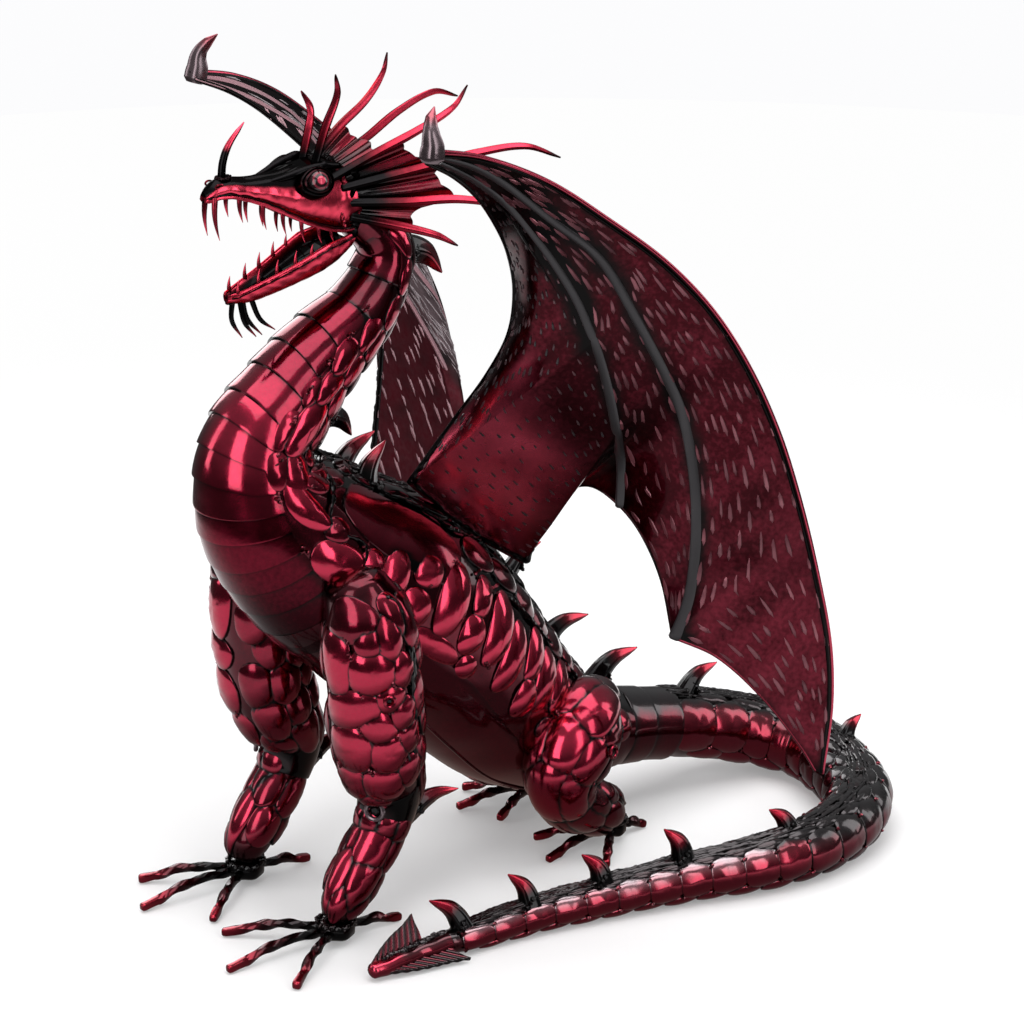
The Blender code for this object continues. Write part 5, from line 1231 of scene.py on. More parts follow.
head = Shape("skull_sheet")
n_ring = 72
s = spline([(0.0, y, (a + b) / 2, (a - b) / 2, w) for y, a, b, w in SKULL], 92)
ang = fan(n_ring)
c, m = np.cos(ang), np.sin(ang)
k = (np.abs(c)**2.6 + np.abs(m)**2.6) ** (-1 / 2.6)
narrow = 1.0 - 0.22 * np.maximum(0.0, m) - 0.05 * np.maximum(0.0, -m)
P = np.stack([s[:, 4:5] * c * k * narrow, np.repeat(s[:, 1:2], n_ring, 1), s[:, 2:3] + s[:, 3:4] * m * k], -1)
Y = P[..., 1]
M = np.repeat(m[None], len(s), 0)
X = P[..., 0]
out = np.stack([c, 0 * c, m], -1)[None]
ridge = 0.0008 * np.cos(X / 0.0021) * smooth(M, 0.35, 0.8) * smooth(Y, 0.016, 0.030) * (1 - smooth(Y, 0.098, 0.118))
cheek = 0.00025 * wobble(P, 0.014, 3, 2) * (1 - smooth(M, 0.2, 0.5)) * smooth(M, -0.75, -0.5)
brow = 0.0022 * np.exp(-((np.abs(X) - 0.0135) / 0.005)**2) * smooth(M, 0.3, 0.8) * smooth(Y, 0.060, 0.105) * (1 - smooth(Y, 0.135, 0.150))
fold = 0.0014 * np.exp(-((Y - 0.150) / 0.006)**2) * (1 - smooth(np.abs(M), 0.7, 0.95))
P = P + out * (ridge + cheek + brow + fold)[..., None]
top_soot = smooth(M, 0.22, 0.55) * (0.95 - 0.25 * smooth(Y, 0.125, 0.16))
lip = smooth(-M, 0.62, 0.85)
roof = smooth(-M, 0.90, 0.97)
soot_h = np.clip(np.maximum(top_soot, roof * 0.95) + 0.22 * smooth(Y, 0.145, 0.16) + 0.10 * smooth(0.030 - Y, 0, 0.012)
                 + 0.22 * np.maximum(0, wobble(P, 0.012, 9, 2)) * (1 - top_soot), 0, 1)
tone_h = np.clip(0.84 + 0.15 * smooth(0.045 - Y, 0, 0.02) - 0.30 * lip + 0.20 * wobble(P, 0.02, 4), 0, 1)
head.grid(P, soot=soot_h, tone=tone_h)
for sign in (1, -1):
    # lip rim and gum along the upper jaw
    yy = np.linspace(0.014, 0.160, 60)
    w, z = along(SKULL, yy, 3), along(SKULL, yy, 2)
    tube(head, np.stack([sign * w * 0.86, yy, z + 0.0020], -1), 0.0021, 8, soot=0.16 + 0.4 * smooth(yy, 0.12, 0.16), tone=0.80)
    tube(head, np.stack([sign * w * 0.97, yy, z + 0.0046 + 0.0004 * np.sin(yy * 400)], -1), 0.0009, 6, soot=0.80, tone=0.3)
    # nostril
    a = fan(17)
    ring = np.array([(sign * (0.0088 + 0.0006 * math.sin(t)), 0.0245 + 0.0040 * math.cos(t), 0.7515 + 0.0022 * math.sin(t)) for t in np.linspace(0, TAU, 17)])
    tube(head, ring, 0.0010, 6, soot=0.55, tone=0.5, rounded=False, side=(1.0, 0.0, 0.0))
    # brow keel over the eye
    yy = np.linspace(0.070, 0.146, 30)
    tube(head, np.stack([sign * np.interp(yy, [0.07, 0.10, 0.125, 0.146], [0.0105, 0.0185, 0.0235, 0.0225]), yy,
                         np.interp(yy, [0.07, 0.09, 0.11, 0.128, 0.146], [0.7478, 0.7515, 0.7565, 0.7592, 0.7560])], -1),
         0.0040 * np.interp(yy, [0.07, 0.10, 0.13, 0.146], [0.4, 1.0, 1.1, 0.7]), 12, soot=0.90, tone=0.3)
    # almond eye socket
    outward = np.array([0.90 * sign, -0.16, 0.40])
    outward /= np.linalg.norm(outward)
    fwd = np.array([0, -1.0, 0]) - outward * (-outward[1])
    fwd /= np.linalg.norm(fwd)
    upw = np.cross(fwd, outward) * (1 if np.cross(fwd, outward)[2] > 0 else -1)
    eye = np.array([EYE[0] * sign, EYE[1], EYE[2]])

    def almond(r, depth, count=40):
        t = np.arange(count) * TAU / count
        x, z = np.cos(t), np.sin(t)
        rr = r * (1 + 0.20 * np.maximum(0, x)**6)
        return eye + outward * depth + (rr * x)[:, None] * fwd + (rr * 0.90 * z)[:, None] * upw

    rows, so, to = [], [], []
    for r, d, g, h in ((0.0172, -0.0120, 0.9, 0.1), (0.0168, -0.0030, 0.88, 0.1), (0.0160, 0.0034, 0.86, 0.1), (0.0152, 0.0058, 0.80, 0.2),
                       (0.0143, 0.0064, 0.84, 0.1), (0.0136, 0.0050, 0.97, 0.1), (0.0129, 0.0064, 0.84, 0.1), (0.0119, 0.0078, 0.76, 0.2),
                       (0.0108, 0.0084, 0.86, 0.2), (0.0100, 0.0076, 0.96, 0.1), (0.0097, -0.0060, 1.0, 0.1)):
        rows.append(almond(r, d))
        so.append(np.full(40, g))
        to.append(np.full(40, h))
    head.grid(np.array(rows), soot=np.array(so), tone=np.array(to))
    # welded cheek column behind the mouth
    for j in range(26):
        t = j / 25
        z = 0.752 - 0.062 * t
        blob(head, (sign * (0.0245 - 0.004 * abs(t - 0.3)), 0.158 + 0.006 * math.sin(t * 9), z), 0.0034 + 0.0012 * math.sin(j * 2.1),
             (0, 0.4, 1), 1.2, 0.25, 3000 + j, 0.92, 0.3)
    for j in range(12):
        t = j / 11
        blob(head, (sign * 0.0262, 0.147 + 0.002 * math.sin(t * 7), 0.744 - 0.046 * t), 0.0020, (0, 0.2, 1), 1.6, 0.2, 3100 + j, 0.55, 0.7)
# weld round the nose horn's root and across the forehead
for j in range(18):
    a = TAU * j / 18
    blob(head, (0.0052 * math.cos(a), 0.034 + 0.0060 * math.sin(a), 0.7570), 0.0022, (math.cos(a), math.sin(a), 0.4), 1.1, 0.25, 3200 + j, 0.85, 0.4)
for j in range(26):
    a = -1 + 2 * j / 25
    blob(head, (0.020 * a, 0.136 + 0.012 * (1 - a * a), 0.7585 - 0.006 * a * a), 0.0036, (1, 0.3 * a, 0), 1.3, 0.25, 3300 + j, 0.93, 0.3)


def fang(shape, root, tip, radius, soot_root, tone):
    root, tip = np.array(root, float), np.array(tip, float)
    d = tip - root
    L = np.linalg.norm(d)
    t = np.linspace(0, 1, 9)
    bow = np.array([0.0, 1.0, 0.0]) * (L * 0.06)
    path = root + t[:, None] * d + (np.sin(math.pi * t))[:, None] * -bow
    rad = radius * np.array([1.0, 0.98, 0.93, 0.85, 0.74, 0.60, 0.44, 0.27, 0.10])
    tube(shape, path, rad, 10, soot=soot_root * (1 - t) + 0.05, tone=tone + 0.1 * t, flat=0.8, side=(0, 1, 0))


for sign in (1, -1):
    for y, length, radius in UPPER_TEETH:
        lipz, w = float(along(SKULL, y, 2)), float(along(SKULL, y, 3))
        root = lipz + 0.0035
        splay = 1.12 if length > 0.03 else 0.92
        rootx = 0.84
        # the right-hand teeth are darker at the root: painted shade on the far side
        fang(head, (rootx * w * sign, y, root), (splay * w * sign, y + 0.002, lipz - length), radius * 0.85, 0.42 if sign > 0 else 0.75, 0.55)
head.build(HEAD_RED, "bright_red_lacquer", ["skull"])

low_jaw = Shape("jaw_sheet")
s = spline([(0.0, y, a, b, w) for y, a, b, w in JAW], 70)
rows, so, to = [], [], []
for p in s:
    topz, lowz, w = p[2], p[3], p[4]
    trough = min(0.007, (topz - lowz) * 0.42)
    outline = [(0.97, 0.0, 0.10, 0.85), (0.90, 0.0006, 0.10, 0.95), (0.80, 0.0, 0.25, 0.8), (0.66, -trough * 0.45, 0.70, 0.4), (0.45, -trough, 0.95, 0.2),
               (0.22, -trough * 1.08, 0.98, 0.2), (0.0, -trough * 1.10, 0.98, 0.2)]
    outline = outline + [(-a, b, g, h) for a, b, g, h in outline[-2::-1]]
    ring = [(w * a, p[1], topz + b) for a, b, g, h in outline]
    g1 = [g for a, b, g, h in outline]
    h1 = [h for a, b, g, h in outline]
    for i in range(1, 30):
        a = math.pi + math.pi * i / 30
        sn = math.sin(a)
        ring.append((w * math.cos(a), p[1], topz - 0.001 + (topz - 0.001 - lowz) * sn))
        g1.append(0.06 + 0.35 * max(0.0, -sn - 0.75) * 4)
        h1.append(0.72 - 0.25 * max(0.0, -sn - 0.5))
    rows.append(ring)
    so.append(g1)
    to.append(h1)
P = np.array(rows)
skin_noise = wobble(P, 0.009, 12, 2)
outer = np.zeros(P.shape[:2])
outer[:, 13:] = 1
P = P + (outer * 0.00035 * skin_noise)[..., None] * np.array([1.0, 0, 0]) * np.sign(P[..., :1])
low_jaw.grid(P, soot=np.clip(np.array(so) + 0.2 * outer * np.maximum(0, skin_noise), 0, 1), tone=np.clip(np.array(to) + 0.15 * skin_noise, 0, 1))
for sign in (1, -1):
    yy = np.linspace(0.036, 0.160, 60)
    w, z = along(JAW, yy, 3), along(JAW, yy, 1)
    tube(low_jaw, np.stack([sign * w * 0.93, yy, z - 0.0005], -1), 0.0017, 8, soot=0.14, tone=0.9)
    tube(low_jaw, np.stack([sign * w * 1.0, yy, z - 0.0034], -1), 0.0008, 6, soot=0.85, tone=0.3)
    for y, length, radius in LOWER_TEETH:
        lipz, w = float(along(JAW, y, 1)), float(along(JAW, y, 3))
        # the right-hand teeth are darker at the root: painted shade on the far side
        fang(low_jaw, (0.86 * w * sign, y, lipz - 0.003), (0.88 * w * sign, y + 0.001, lipz + length), radius * 0.90, 0.40 if sign > 0 else 0.70, 0.55)
for j in range(14):
    blob(low_jaw, (0.0035 * math.sin(j * 2.4), 0.036 + 0.0018 * j, 0.6395 + 0.0003 * j), 0.0030, (0, 1, 0), 1.2, 0.25, 3500 + j, 0.85, 0.3)
low_jaw.build(HEAD_RED, "bright_red_lacquer", ["jaw"])

for side_name, sign in (("left", 1), ("right", -1)):
    outward = np.array([0.90 * sign, -0.16, 0.40])
    outward /= np.linalg.norm(outward)
    u = np.cross(outward, (0, 0, 1.0))
    u /= np.linalg.norm(u)
    w = np.cross(outward, u)
    rows, to = [], []
    for lat in np.linspace(-88, 88, 40):
        a = math.radians(lat)
        t = fan(36)
        r = EYE_R * 0.985 * (1 + 0.045 * math.exp(-((90 - lat) / 26.0)**2))       # a slight cornea bulge
        ring = (np.cos(t)[:, None] * u + np.sin(t)[:, None] * w) * math.cos(a) * r + outward * math.sin(a) * r
        rows.append(np.array([EYE[0] * sign, EYE[1], EYE[2]]) + ring)
        to.append(np.full(36, 1.0 if lat > 72 else (0.35 if 50 < lat < 58 else 0.0)))
    ball = Shape("eye_ball_" + side_name)
    ball.grid(np.array(rows), soot=np.array([[0.0 if v[0] > 0.9 else 0.30] * 36 for v in to]), tone=np.array(to))
    ball.build(GLOSS, "black_gloss", ["eye_" + side_name])

n = 34
share = np.linspace(0, 1, n)
nose = Shape("nose_horn_bar")
tube(nose, spline(NOSE_HORN, n), np.interp(share, [0, 0.5, 0.85, 1], [0.0040, 0.0036, 0.0022, 0.0006]), 12, soot=0.98 - 0.98 * smooth(share, 0.42, 0.72),
     tone=0.95, groove=0.06, grooves=4, side=(1, 0, 0))
nose.build(HEAD_RED, "black_gloss", ["nose_horn"], sharp=60)
for k, line in enumerate(WHISKERS, 1):
    piece = Shape(f"chin_whisker_bar_{k}")
    tube(piece, spline(line, 24), np.interp(np.linspace(0, 1, 24), [0, 0.6, 1], [0.0028, 0.0022, 0.0005]), 10,
         soot=0.95 - 0.5 * smooth(np.linspace(0, 1, 24), 0.5, 1.0), tone=0.7, side=(1, 0, 0))
    piece.build(HEAD_RED, "black_gloss", [f"chin_whisker_{k}"], sharp=60)

# ---------------------------------------------------------------- crest
for side_name, table, sign in (("left", RODS_LEFT, 1), ("right", RODS_RIGHT, -1)):
    lines = []
    for k, line in enumerate(table, 1):
        n = 46
        share = np.linspace(0, 1, n)
        path = spline(line, n)
        lines.append(spline(line, 60))
        piece = Shape(f"crest_bar_{side_name}_{k}")
        rad = 0.0039 * np.interp(share, [0, 0.1, 0.5, 0.8, 0.95, 1.0], [0.85, 0.95, 1.0, 0.78, 0.42, 0.18])
        tube(piece, path, rad, 14, soot=np.clip(0.95 - 0.72 * smooth(share, 0.06, 0.50) + 0.55 * smooth(share, 0.84, 1.0), 0, 1),
             tone=0.12 + 0.34 * smooth(share, 0.3, 0.7), groove=0.20, grooves=5, side=(0.2, 0.1, 1.0) if k > 1 else (1, 0, 0))
        piece.build(HEAD_RED, "bright_red_lacquer", [f"crest_rod_{side_name}_{k}"], sharp=60)
    lines = lines[1:]
    reach = WEB_REACH[side_name]
    per, steps = 30, 44
    tops, lows, soots, tones = [], [], [], []
    for i in range(3):
        for f in (np.linspace(0, 1, per) if i == 2 else np.linspace(0, 1, per, endpoint=False)):
            a, b = lines[i], lines[i + 1]
            dip = 1 - (0.10 if i < 2 else 0.22) * math.sin(math.pi * f)
            jag = 1 + 0.030 * (abs(math.sin(3.0 * math.pi * f)) - 0.5)
            ext = (reach[i] * (1 - f) + reach[i + 1] * f) * dip * jag
            t = np.linspace(0.02, ext, steps)
            kk = t * 59
            pa = np.stack([np.interp(kk, range(60), a[:, c]) for c in range(3)], -1)
            pb = np.stack([np.interp(kk, range(60), b[:, c]) for c in range(3)], -1)
            q = pa * (1 - f) + pb * f
            fold = math.cos(f * TAU * 2)
            deep = 0.0012 * fold * smooth(t, 0.02, 0.15)
            inward = 0.0062 + 0.0016 * math.sin(math.pi * f) + deep
            q = q - np.stack([inward * sign, 0 * t, 0 * t], -1)
            tops.append(q + np.array([0.0008, 0, 0]))
            lows.append(q - np.array([0.0008, 0, 0]))
            x = t / max(ext, 1e-6)
            # Across each fold the black rises on one side and the tone on the other: painted shade and painted
            # highlight over the real corrugation.
            soots.append(np.clip(0.98 - 0.92 * smooth(x, 0.22, 0.75) + 0.22 * smooth(-fold * np.ones(steps), 0.4, 1.0) + 0.4 * smooth(x, 0.965, 1.0), 0, 1))
            tones.append(np.clip(0.04 + 0.34 * smooth(x, 0.50, 0.9) * (0.70 + 0.30 * fold) * (1.0 if i == 0 else 0.6), 0, 1))
    piece = Shape("crest_web_" + side_name + "_fan")
    piece.slab(np.array(tops), np.array(lows), np.array(soots).ravel(), np.array(tones).ravel())
    piece.build(HORN_RED, "dark_red_lacquer", ["crest_web_" + side_name], sharp=50)

# ---------------------------------------------------------------- wings
ROWS = 28


def wing_curves(sign):
    at = np.linspace(0, ROWS, 561)
    share = np.interp(at, [0, 6, 8, 9.5, 11, 14, 18, 22, ROWS], [0.0, 0.16, 0.24, 0.30, 0.33, 0.38, 0.50, 0.68, 1.0])
    ker = np.hanning(25)
    ker /= ker.sum()
    share = np.convolve(np.concatenate([2 * share[0] - share[12:0:-1], share, 2 * share[-1] - share[-2:-14:-1]]), ker, "valid")
    fine = spline(WING_LEAD, 401)
    lead = np.stack([np.interp(share * 400, range(401), fine[:, c]) for c in range(3)], 1)
    front = spline(WING_FRONT, 221)
    if sign < 0:
        front[:, 2] += 0.008 * np.exp(-((front[:, 2] - 0.770) / 0.035)**2)
    root = spline([front[-1], WING_ROOT_MID, WING_REAR_ROOT], 61)
    inner = np.concatenate([front, root[1:], spline(WING_ARCH, 161)[1:], spline(WING_TRAIL, 121)[1:]])
    return lead, inner


class Sheet:
    """The wing's sheet: q runs from the claw to the tip, f from the leading edge to the inner edge."""

    def __init__(self, sign):
        self.sign = sign
        self.lead, self.inner = wing_curves(sign)

    def at(self, q, f):
        q, f = np.broadcast_arrays(np.asarray(q, float), np.asarray(f, float))
        k = np.clip(q, 0, ROWS) * 20
        i = np.minimum(k.astype(int), 559)
        t = (k - i)[..., None]
        a = self.lead[i] * (1 - t) + self.lead[i + 1] * t
        b = self.inner[i] * (1 - t) + self.inner[i + 1] * t
        P = a * (1 - f[..., None]) + b * f[..., None]
        camber = 0.012 * self.sign * np.sin(math.pi * np.clip(f, 0, 1)) * np.sin(math.pi * q / ROWS)
        return np.stack([self.sign * (P[..., 0] + 0.7 * camber), P[..., 1] - 0.7 * camber, P[..., 2]], -1)

    def normal(self, q, f):
        q, f = np.broadcast_arrays(np.asarray(q, float), np.asarray(f, float))
        q0, q1 = np.clip(q - 0.25, 0, ROWS), np.clip(q + 0.25, 0, ROWS)
        f0, f1 = np.clip(f - 0.03, 0, 1), np.clip(f + 0.03, 0, 1)
        n = np.cross(self.at(q1, f) - self.at(q0, f), self.at(q, f1) - self.at(q, f0))
        n /= np.maximum(np.linalg.norm(n, axis=-1), 1e-12)[..., None]
        return n * self.sign


# two long ribs fan out from the claw: where they cross each line of the sheet
RIB_A = ([0.0, 1.9, 3.9, 6.5, 8.0, 12.5, 15.2, 17.3, 19.6, 21.5, 22.2], [0.36, 0.34, 0.308, 0.201, 0.150, 0.187, 0.271, 0.391, 0.592, 0.84, 1.0])
RIB_B = ([0.0, 1.9, 3.5, 6.7, 9.5, 12.4, 15.0, 17.6, 18.35], [0.60, 0.60, 0.56, 0.371, 0.314, 0.348, 0.540, 0.853, 1.0])
RIB_C = ([1.5, 3.0, 4.6, 6.4, 8.2, 9.6], [0.80, 0.72, 0.615, 0.50, 0.408, 0.40])
RIB_LINES = [
    ([(0.196, 0.124, 0.803), (0.196, 0.169, 0.788), (0.196, 0.215, 0.760), (0.206, 0.260, 0.722), (0.217, 0.297, 0.690), (0.2195, 0.352, 0.603),
      (0.216, 0.386, 0.547), (0.215, 0.406, 0.505), (0.217, 0.421, 0.420), (0.213, 0.418, 0.321), (0.2035, 0.4075, 0.281)], 0.0054),
    ([(0.194, 0.125, 0.800), (0.188, 0.165, 0.780), (0.180, 0.213, 0.746), (0.187, 0.263, 0.690), (0.190, 0.303, 0.626), (0.184, 0.332, 0.561),
      (0.165, 0.362, 0.495), (0.143, 0.387, 0.436), (0.138, 0.391, 0.402)], 0.0048),
    ([(0.172, 0.215, 0.742), (0.170, 0.242, 0.712), (0.176, 0.265, 0.676), (0.181, 0.285, 0.638)], 0.0018),
]


def rib_line(rib, q):
    s = spline([(a, b, 0.0) for a, b in zip(*rib)], 400)
    return np.interp(q, s[:, 0], s[:, 1])


for side_name, sign in (("left", 1), ("right", -1)):
    sheet = Sheet(sign)
    wing = Shape("wing_sheet_" + side_name)
    q, f = np.meshgrid(np.linspace(0, ROWS, 225), np.linspace(0, 1, 61), indexing="ij")
    P, N = sheet.at(q, f), sheet.normal(q, f)
    ra, rb = rib_line(RIB_A, q), rib_line(RIB_B, q)
    # distances across the sheet, in metres
    width = np.linalg.norm(sheet.at(q[:, 0], 1.0) - sheet.at(q[:, 0], 0.0), axis=-1)[:, None]
    d_lead = f * width
    d_in = (1 - f) * width
    d_a = np.where(q < 22.4, np.abs(f - ra) * width, 1)
    d_b = np.where(q < 18.5, np.abs(f - rb) * width, 1)
    near_rib = np.maximum(np.exp(-(d_a / 0.017)**2), np.exp(-(d_b / 0.017)**2))
    soot = 0.10 + 0.72 * near_rib + 0.75 * np.exp(-(d_lead / 0.007)**2) + 0.40 * np.exp(-(d_in / 0.006)**2)
    soot += 0.55 * (1 - smooth(q, 2.0, 9.0)) + 0.25 * smooth(0.5 - np.abs(f - 0.4), 0.2, 0.5) * (1 - smooth(q, 8, 15))
    soot += 0.10 * wobble(P, 0.06, 41, 2)
    tone = 0.01 + 0.075 * smooth(q, 17, 25) + 0.03 * wobble(P, 0.05, 43)
    # the front panel by the wing's root has less black and is painted bright: a painted sheen where the sheet there
    # catches the light
    root_panel_sheen = smooth(f, 0.50, 0.72) * smooth(q, 8.6, 10.2) * (1 - smooth(q, 12.6, 14.4))
    tone = np.clip(tone + (0.98 + 0.30 * wobble(P, 0.045, 45)) * root_panel_sheen, 0, 1)
    soot = np.clip(soot - 0.20 * root_panel_sheen, 0, 1)
    soot_back, tone_back = soot, tone
    if sign < 0:
        # the right wing's inner face is greyer; its outer face is shaded like the left wing's
        tone_back = np.clip(tone, 0, 0.12)
        outer = 1 - smooth(f - np.minimum(rb, 1.0), -0.12, 0.06)
        strip = 1 - smooth(q, 7.0, 10.0)
        soot = np.clip(0.30 + 0.25 * near_rib + 0.62 * strip + 0.10 * wobble(P, 0.03, 49), 0, 1)
        tone = np.clip(0.05 + 0.75 * outer, 0, 1)
    # shallow creases along the flow
    ripple = 0.00022 * wobble(P, 0.05, 47)
    top = P + N * (0.0008 + ripple)[..., None]
    low = P - N * (0.0008 - ripple)[..., None]
    if sign > 0 or N[..., 0].mean() > 0:
        wing.slab(top, low, soot.ravel(), tone.ravel(), soot_back.ravel(), tone_back.ravel())
    else:
        wing.slab(top, low, soot_back.ravel(), tone_back.ravel(), soot.ravel(), tone.ravel())
    trim = Shape("wing_ribs_" + side_name)
    inner_dashes = Shape("wing_inner_dashes_" + side_name)
    outer_dashes = Shape("wing_dashes_" + side_name)
    qq = np.linspace(0.15, ROWS, 240)
    t = np.linspace(0, 1, 240)
    tube(trim, sheet.at(qq, 0.0), 0.0019 * np.interp(t, [0, 0.1, 0.9, 1.0], [1.5, 1.0, 1.0, 0.7]), 8, soot=0.12 + 0.5 * (1 - smooth(t, 0.0, 0.06)), tone=0.50)
    tube(trim, sheet.at(qq, 0.0) * 0.0 + sheet.at(qq, 0.0045 / np.maximum(np.interp(qq, np.linspace(0, ROWS, 225), width[:, 0]), 0.02)),
         0.0022 * np.interp(t, [0, 0.1, 0.9, 1.0], [1.4, 1.0, 1.0, 0.6]), 8, soot=0.97, tone=0.2)
    for q0, q1, r, so in ((0.0, 11.0, 0.0026, 0.90), (14.0, 22.0, 0.0017, 0.80), (22.0, 28.0, 0.0015, 0.45)):
        qi = np.linspace(q0, q1, 120)
        tube(trim, sheet.at(qi, 0.995), r, 8, soot=so, tone=0.5)
    for face in (1, -1):
        is_inner = sign < 0 and (N[..., 0] * face).mean() > 0
        dashes = inner_dashes if is_inner else outer_dashes
        for line, r in RIB_LINES:
            n = 150
            pts = spline(line, n)
            # laid on the sheet: each point moves to the nearest place on it
            flat_p, flat_n = P.reshape(-1, 3), N.reshape(-1, 3)
            pts = pts * np.array([sign, 1, 1])
            near = np.array([int(np.argmin(((flat_p - p)**2).sum(1))) for p in pts])
            offset = ((pts - flat_p[near]) * flat_n[near]).sum(1)
            pts = pts - flat_n[near] * offset[:, None]
            ker = np.hanning(19)
            ker /= ker.sum()
            padded = np.concatenate([2 * pts[0] - pts[9:0:-1], pts, 2 * pts[-1] - pts[-2:-11:-1]])
            pts = np.stack([np.convolve(padded[:, c], ker, "valid") for c in range(3)], -1)
            x = np.linspace(0, 1, n)
            rad = r * (np.interp(x, [0, 0.15, 0.6, 0.9, 1.0], [0.60, 0.75, 0.95, 1.05, 1.15]) if r > 0.002 else np.interp(x, [0, 0.4, 1], [0.3, 1, 0.2]))
            nn = flat_n[near]
            tube(dashes if r > 0.002 else trim, pts + nn * face * 0.0006, rad, 14, soot=0.30 if is_inner else 0.97, tone=0.0, side=tuple(np.cross(nn[n // 2], pts[-1] - pts[0])), flat=0.42, power=2.4)
        # raised dashes struck into the sheet along the flow
        for zone in range(3):
            def bounds(qv):
                a = np.where(qv < 22.2, rib_line(RIB_A, qv), 1.0)
                b = np.where(qv < 18.3, np.maximum(rib_line(RIB_B, qv), a), 1.0)
                b = np.where(qv < 22.2, b, 1.0)
                return [np.zeros_like(qv), a, b, np.ones_like(qv)][zone], [np.zeros_like(qv), a, b, np.ones_like(qv)][zone + 1]
            qv = np.linspace(0.6, [27.4, 22.0, 14.2][zone], 500)
            f0, f1 = bounds(qv)
            w = np.linalg.norm(sheet.at(qv, f1) - sheet.at(qv, f0), axis=-1)
            inside = sign < 0 and (N[..., 0] * face).mean() > 0      # the right wing's inner face has longer welts
            lanes = int(round(w.max() / ([0.0170, 0.0150, 0.0120][zone] if not inside else [0.0072, 0.0064, 0.0135][zone])))
            rng = np.random.default_rng(100 + zone)
            for lane in range(lanes):
                g = (lane + 0.5) / lanes
                fl = f0 * (1 - g) + f1 * g
                line = sheet.at(qv, fl)
                nrm = sheet.normal(qv, fl)
                arc = np.concatenate(([0.0], np.cumsum(np.linalg.norm(np.diff(line, axis=0), axis=1))))
                pos = rng.uniform(0, 0.016)
                while pos < arc[-1] - 0.012:
                    size = (rng.uniform(0.014, 0.031) if zone < 2 else rng.uniform(0.007, 0.014)) if not inside else (rng.uniform(0.016, 0.034) if zone == 2 else rng.uniform(0.020, 0.045))
                    k = np.interp(pos, arc, np.arange(500))
                    local = np.interp(k, np.arange(500), w) / lanes
                    skip = local < 0.0056 and rng.uniform() > local / 0.0066
                    margin = min(g, 1 - g) * np.interp(k, np.arange(500), w)
                    if not skip and margin > 0.0040:
                        kk = np.interp([pos, pos + size * 0.3, pos + size * 0.72, pos + size], arc, np.arange(500))
                        pt = np.stack([np.interp(kk, np.arange(500), line[:, c]) for c in range(3)], -1)
                        nn = np.stack([np.interp(kk, np.arange(500), nrm[:, c]) for c in range(3)], -1) * face
                        if inside and zone == 2:
                            # the welts of the inner face by the root stand upright
                            flat_n2 = nn.mean(0) / np.linalg.norm(nn.mean(0))
                            up_way = np.array([0.0, 0.12, 1.0])
                            up_way = up_way - flat_n2 * (up_way @ flat_n2)
                            up_way /= np.linalg.norm(up_way)
                            pt = pt.mean(0) + np.outer([-0.5, -0.2, 0.22, 0.5], up_way) * size * 0.85
                            nn = np.tile(flat_n2, (4, 1))
                        d = pt[3] - pt[0]
                        d /= np.linalg.norm(d)
                        across = np.cross(d, nn[1])
                        across /= np.linalg.norm(across)
                        hw = (rng.uniform(0.0017, 0.0027) if zone < 2 else rng.uniform(0.0009, 0.0015)) if not inside else (rng.uniform(0.0013, 0.0022) if zone == 2 else rng.uniform(0.0006, 0.0011))
                        tall = rng.uniform(0.0007, 0.0011)
                        base, up = 0.0006, 0.0008 + tall
                        V = [pt[0] + nn[0] * base, pt[1] + across * hw * 0.8 + nn[1] * base, pt[2] + across * hw + nn[2] * base,
                             pt[3] + nn[3] * base, pt[2] - across * hw + nn[2] * base, pt[1] - across * hw * 0.8 + nn[1] * base,
                             pt[1] + across * hw * 0.55 + nn[1] * up, pt[2] + across * hw * 0.68 + nn[2] * up,
                             pt[2] - across * hw * 0.68 + nn[2] * up, pt[1] - across * hw * 0.55 + nn[1] * up]
                        F4 = [(1, 2, 7, 6), (4, 5, 9, 8), (6, 7, 8, 9), (0, 1, 6, 9), (2, 3, 8, 7), (0, 5, 4, 1),
                              (1, 4, 3, 2)]
                        quads = F4
                        # the dashes' pale colour is partly a painted highlight
                        grey = (0.10 + 0.30 * rng.uniform() + (0.45 if zone == 2 else 0)) if not inside else (0.10 if zone == 2 else 0.95)
                        start = dashes.points(V, grey, (0.3 + 0.7 * rng.uniform()) if not inside else 1.0)
                        dashes.quads.append(np.array(quads) + start)
                        dashes.tris.append(np.array([(0, 9, 5), (3, 4, 8)]) + start)
                    pos += size + (rng.uniform(0.009, 0.026) if not inside else (rng.uniform(0.004, 0.014) if zone < 2 else rng.uniform(0.010, 0.026)))
    wing.build(WING_RED if sign > 0 else WING_FAR, "dark_red_lacquer", ["wing_" + side_name], sharp=30)
    outer_dashes.build(DASH_RED, "dark_red_lacquer", sharp=30)
    if sign < 0:
        inner_dashes.build(DASH_FAR, "dark_red_lacquer", sharp=30)
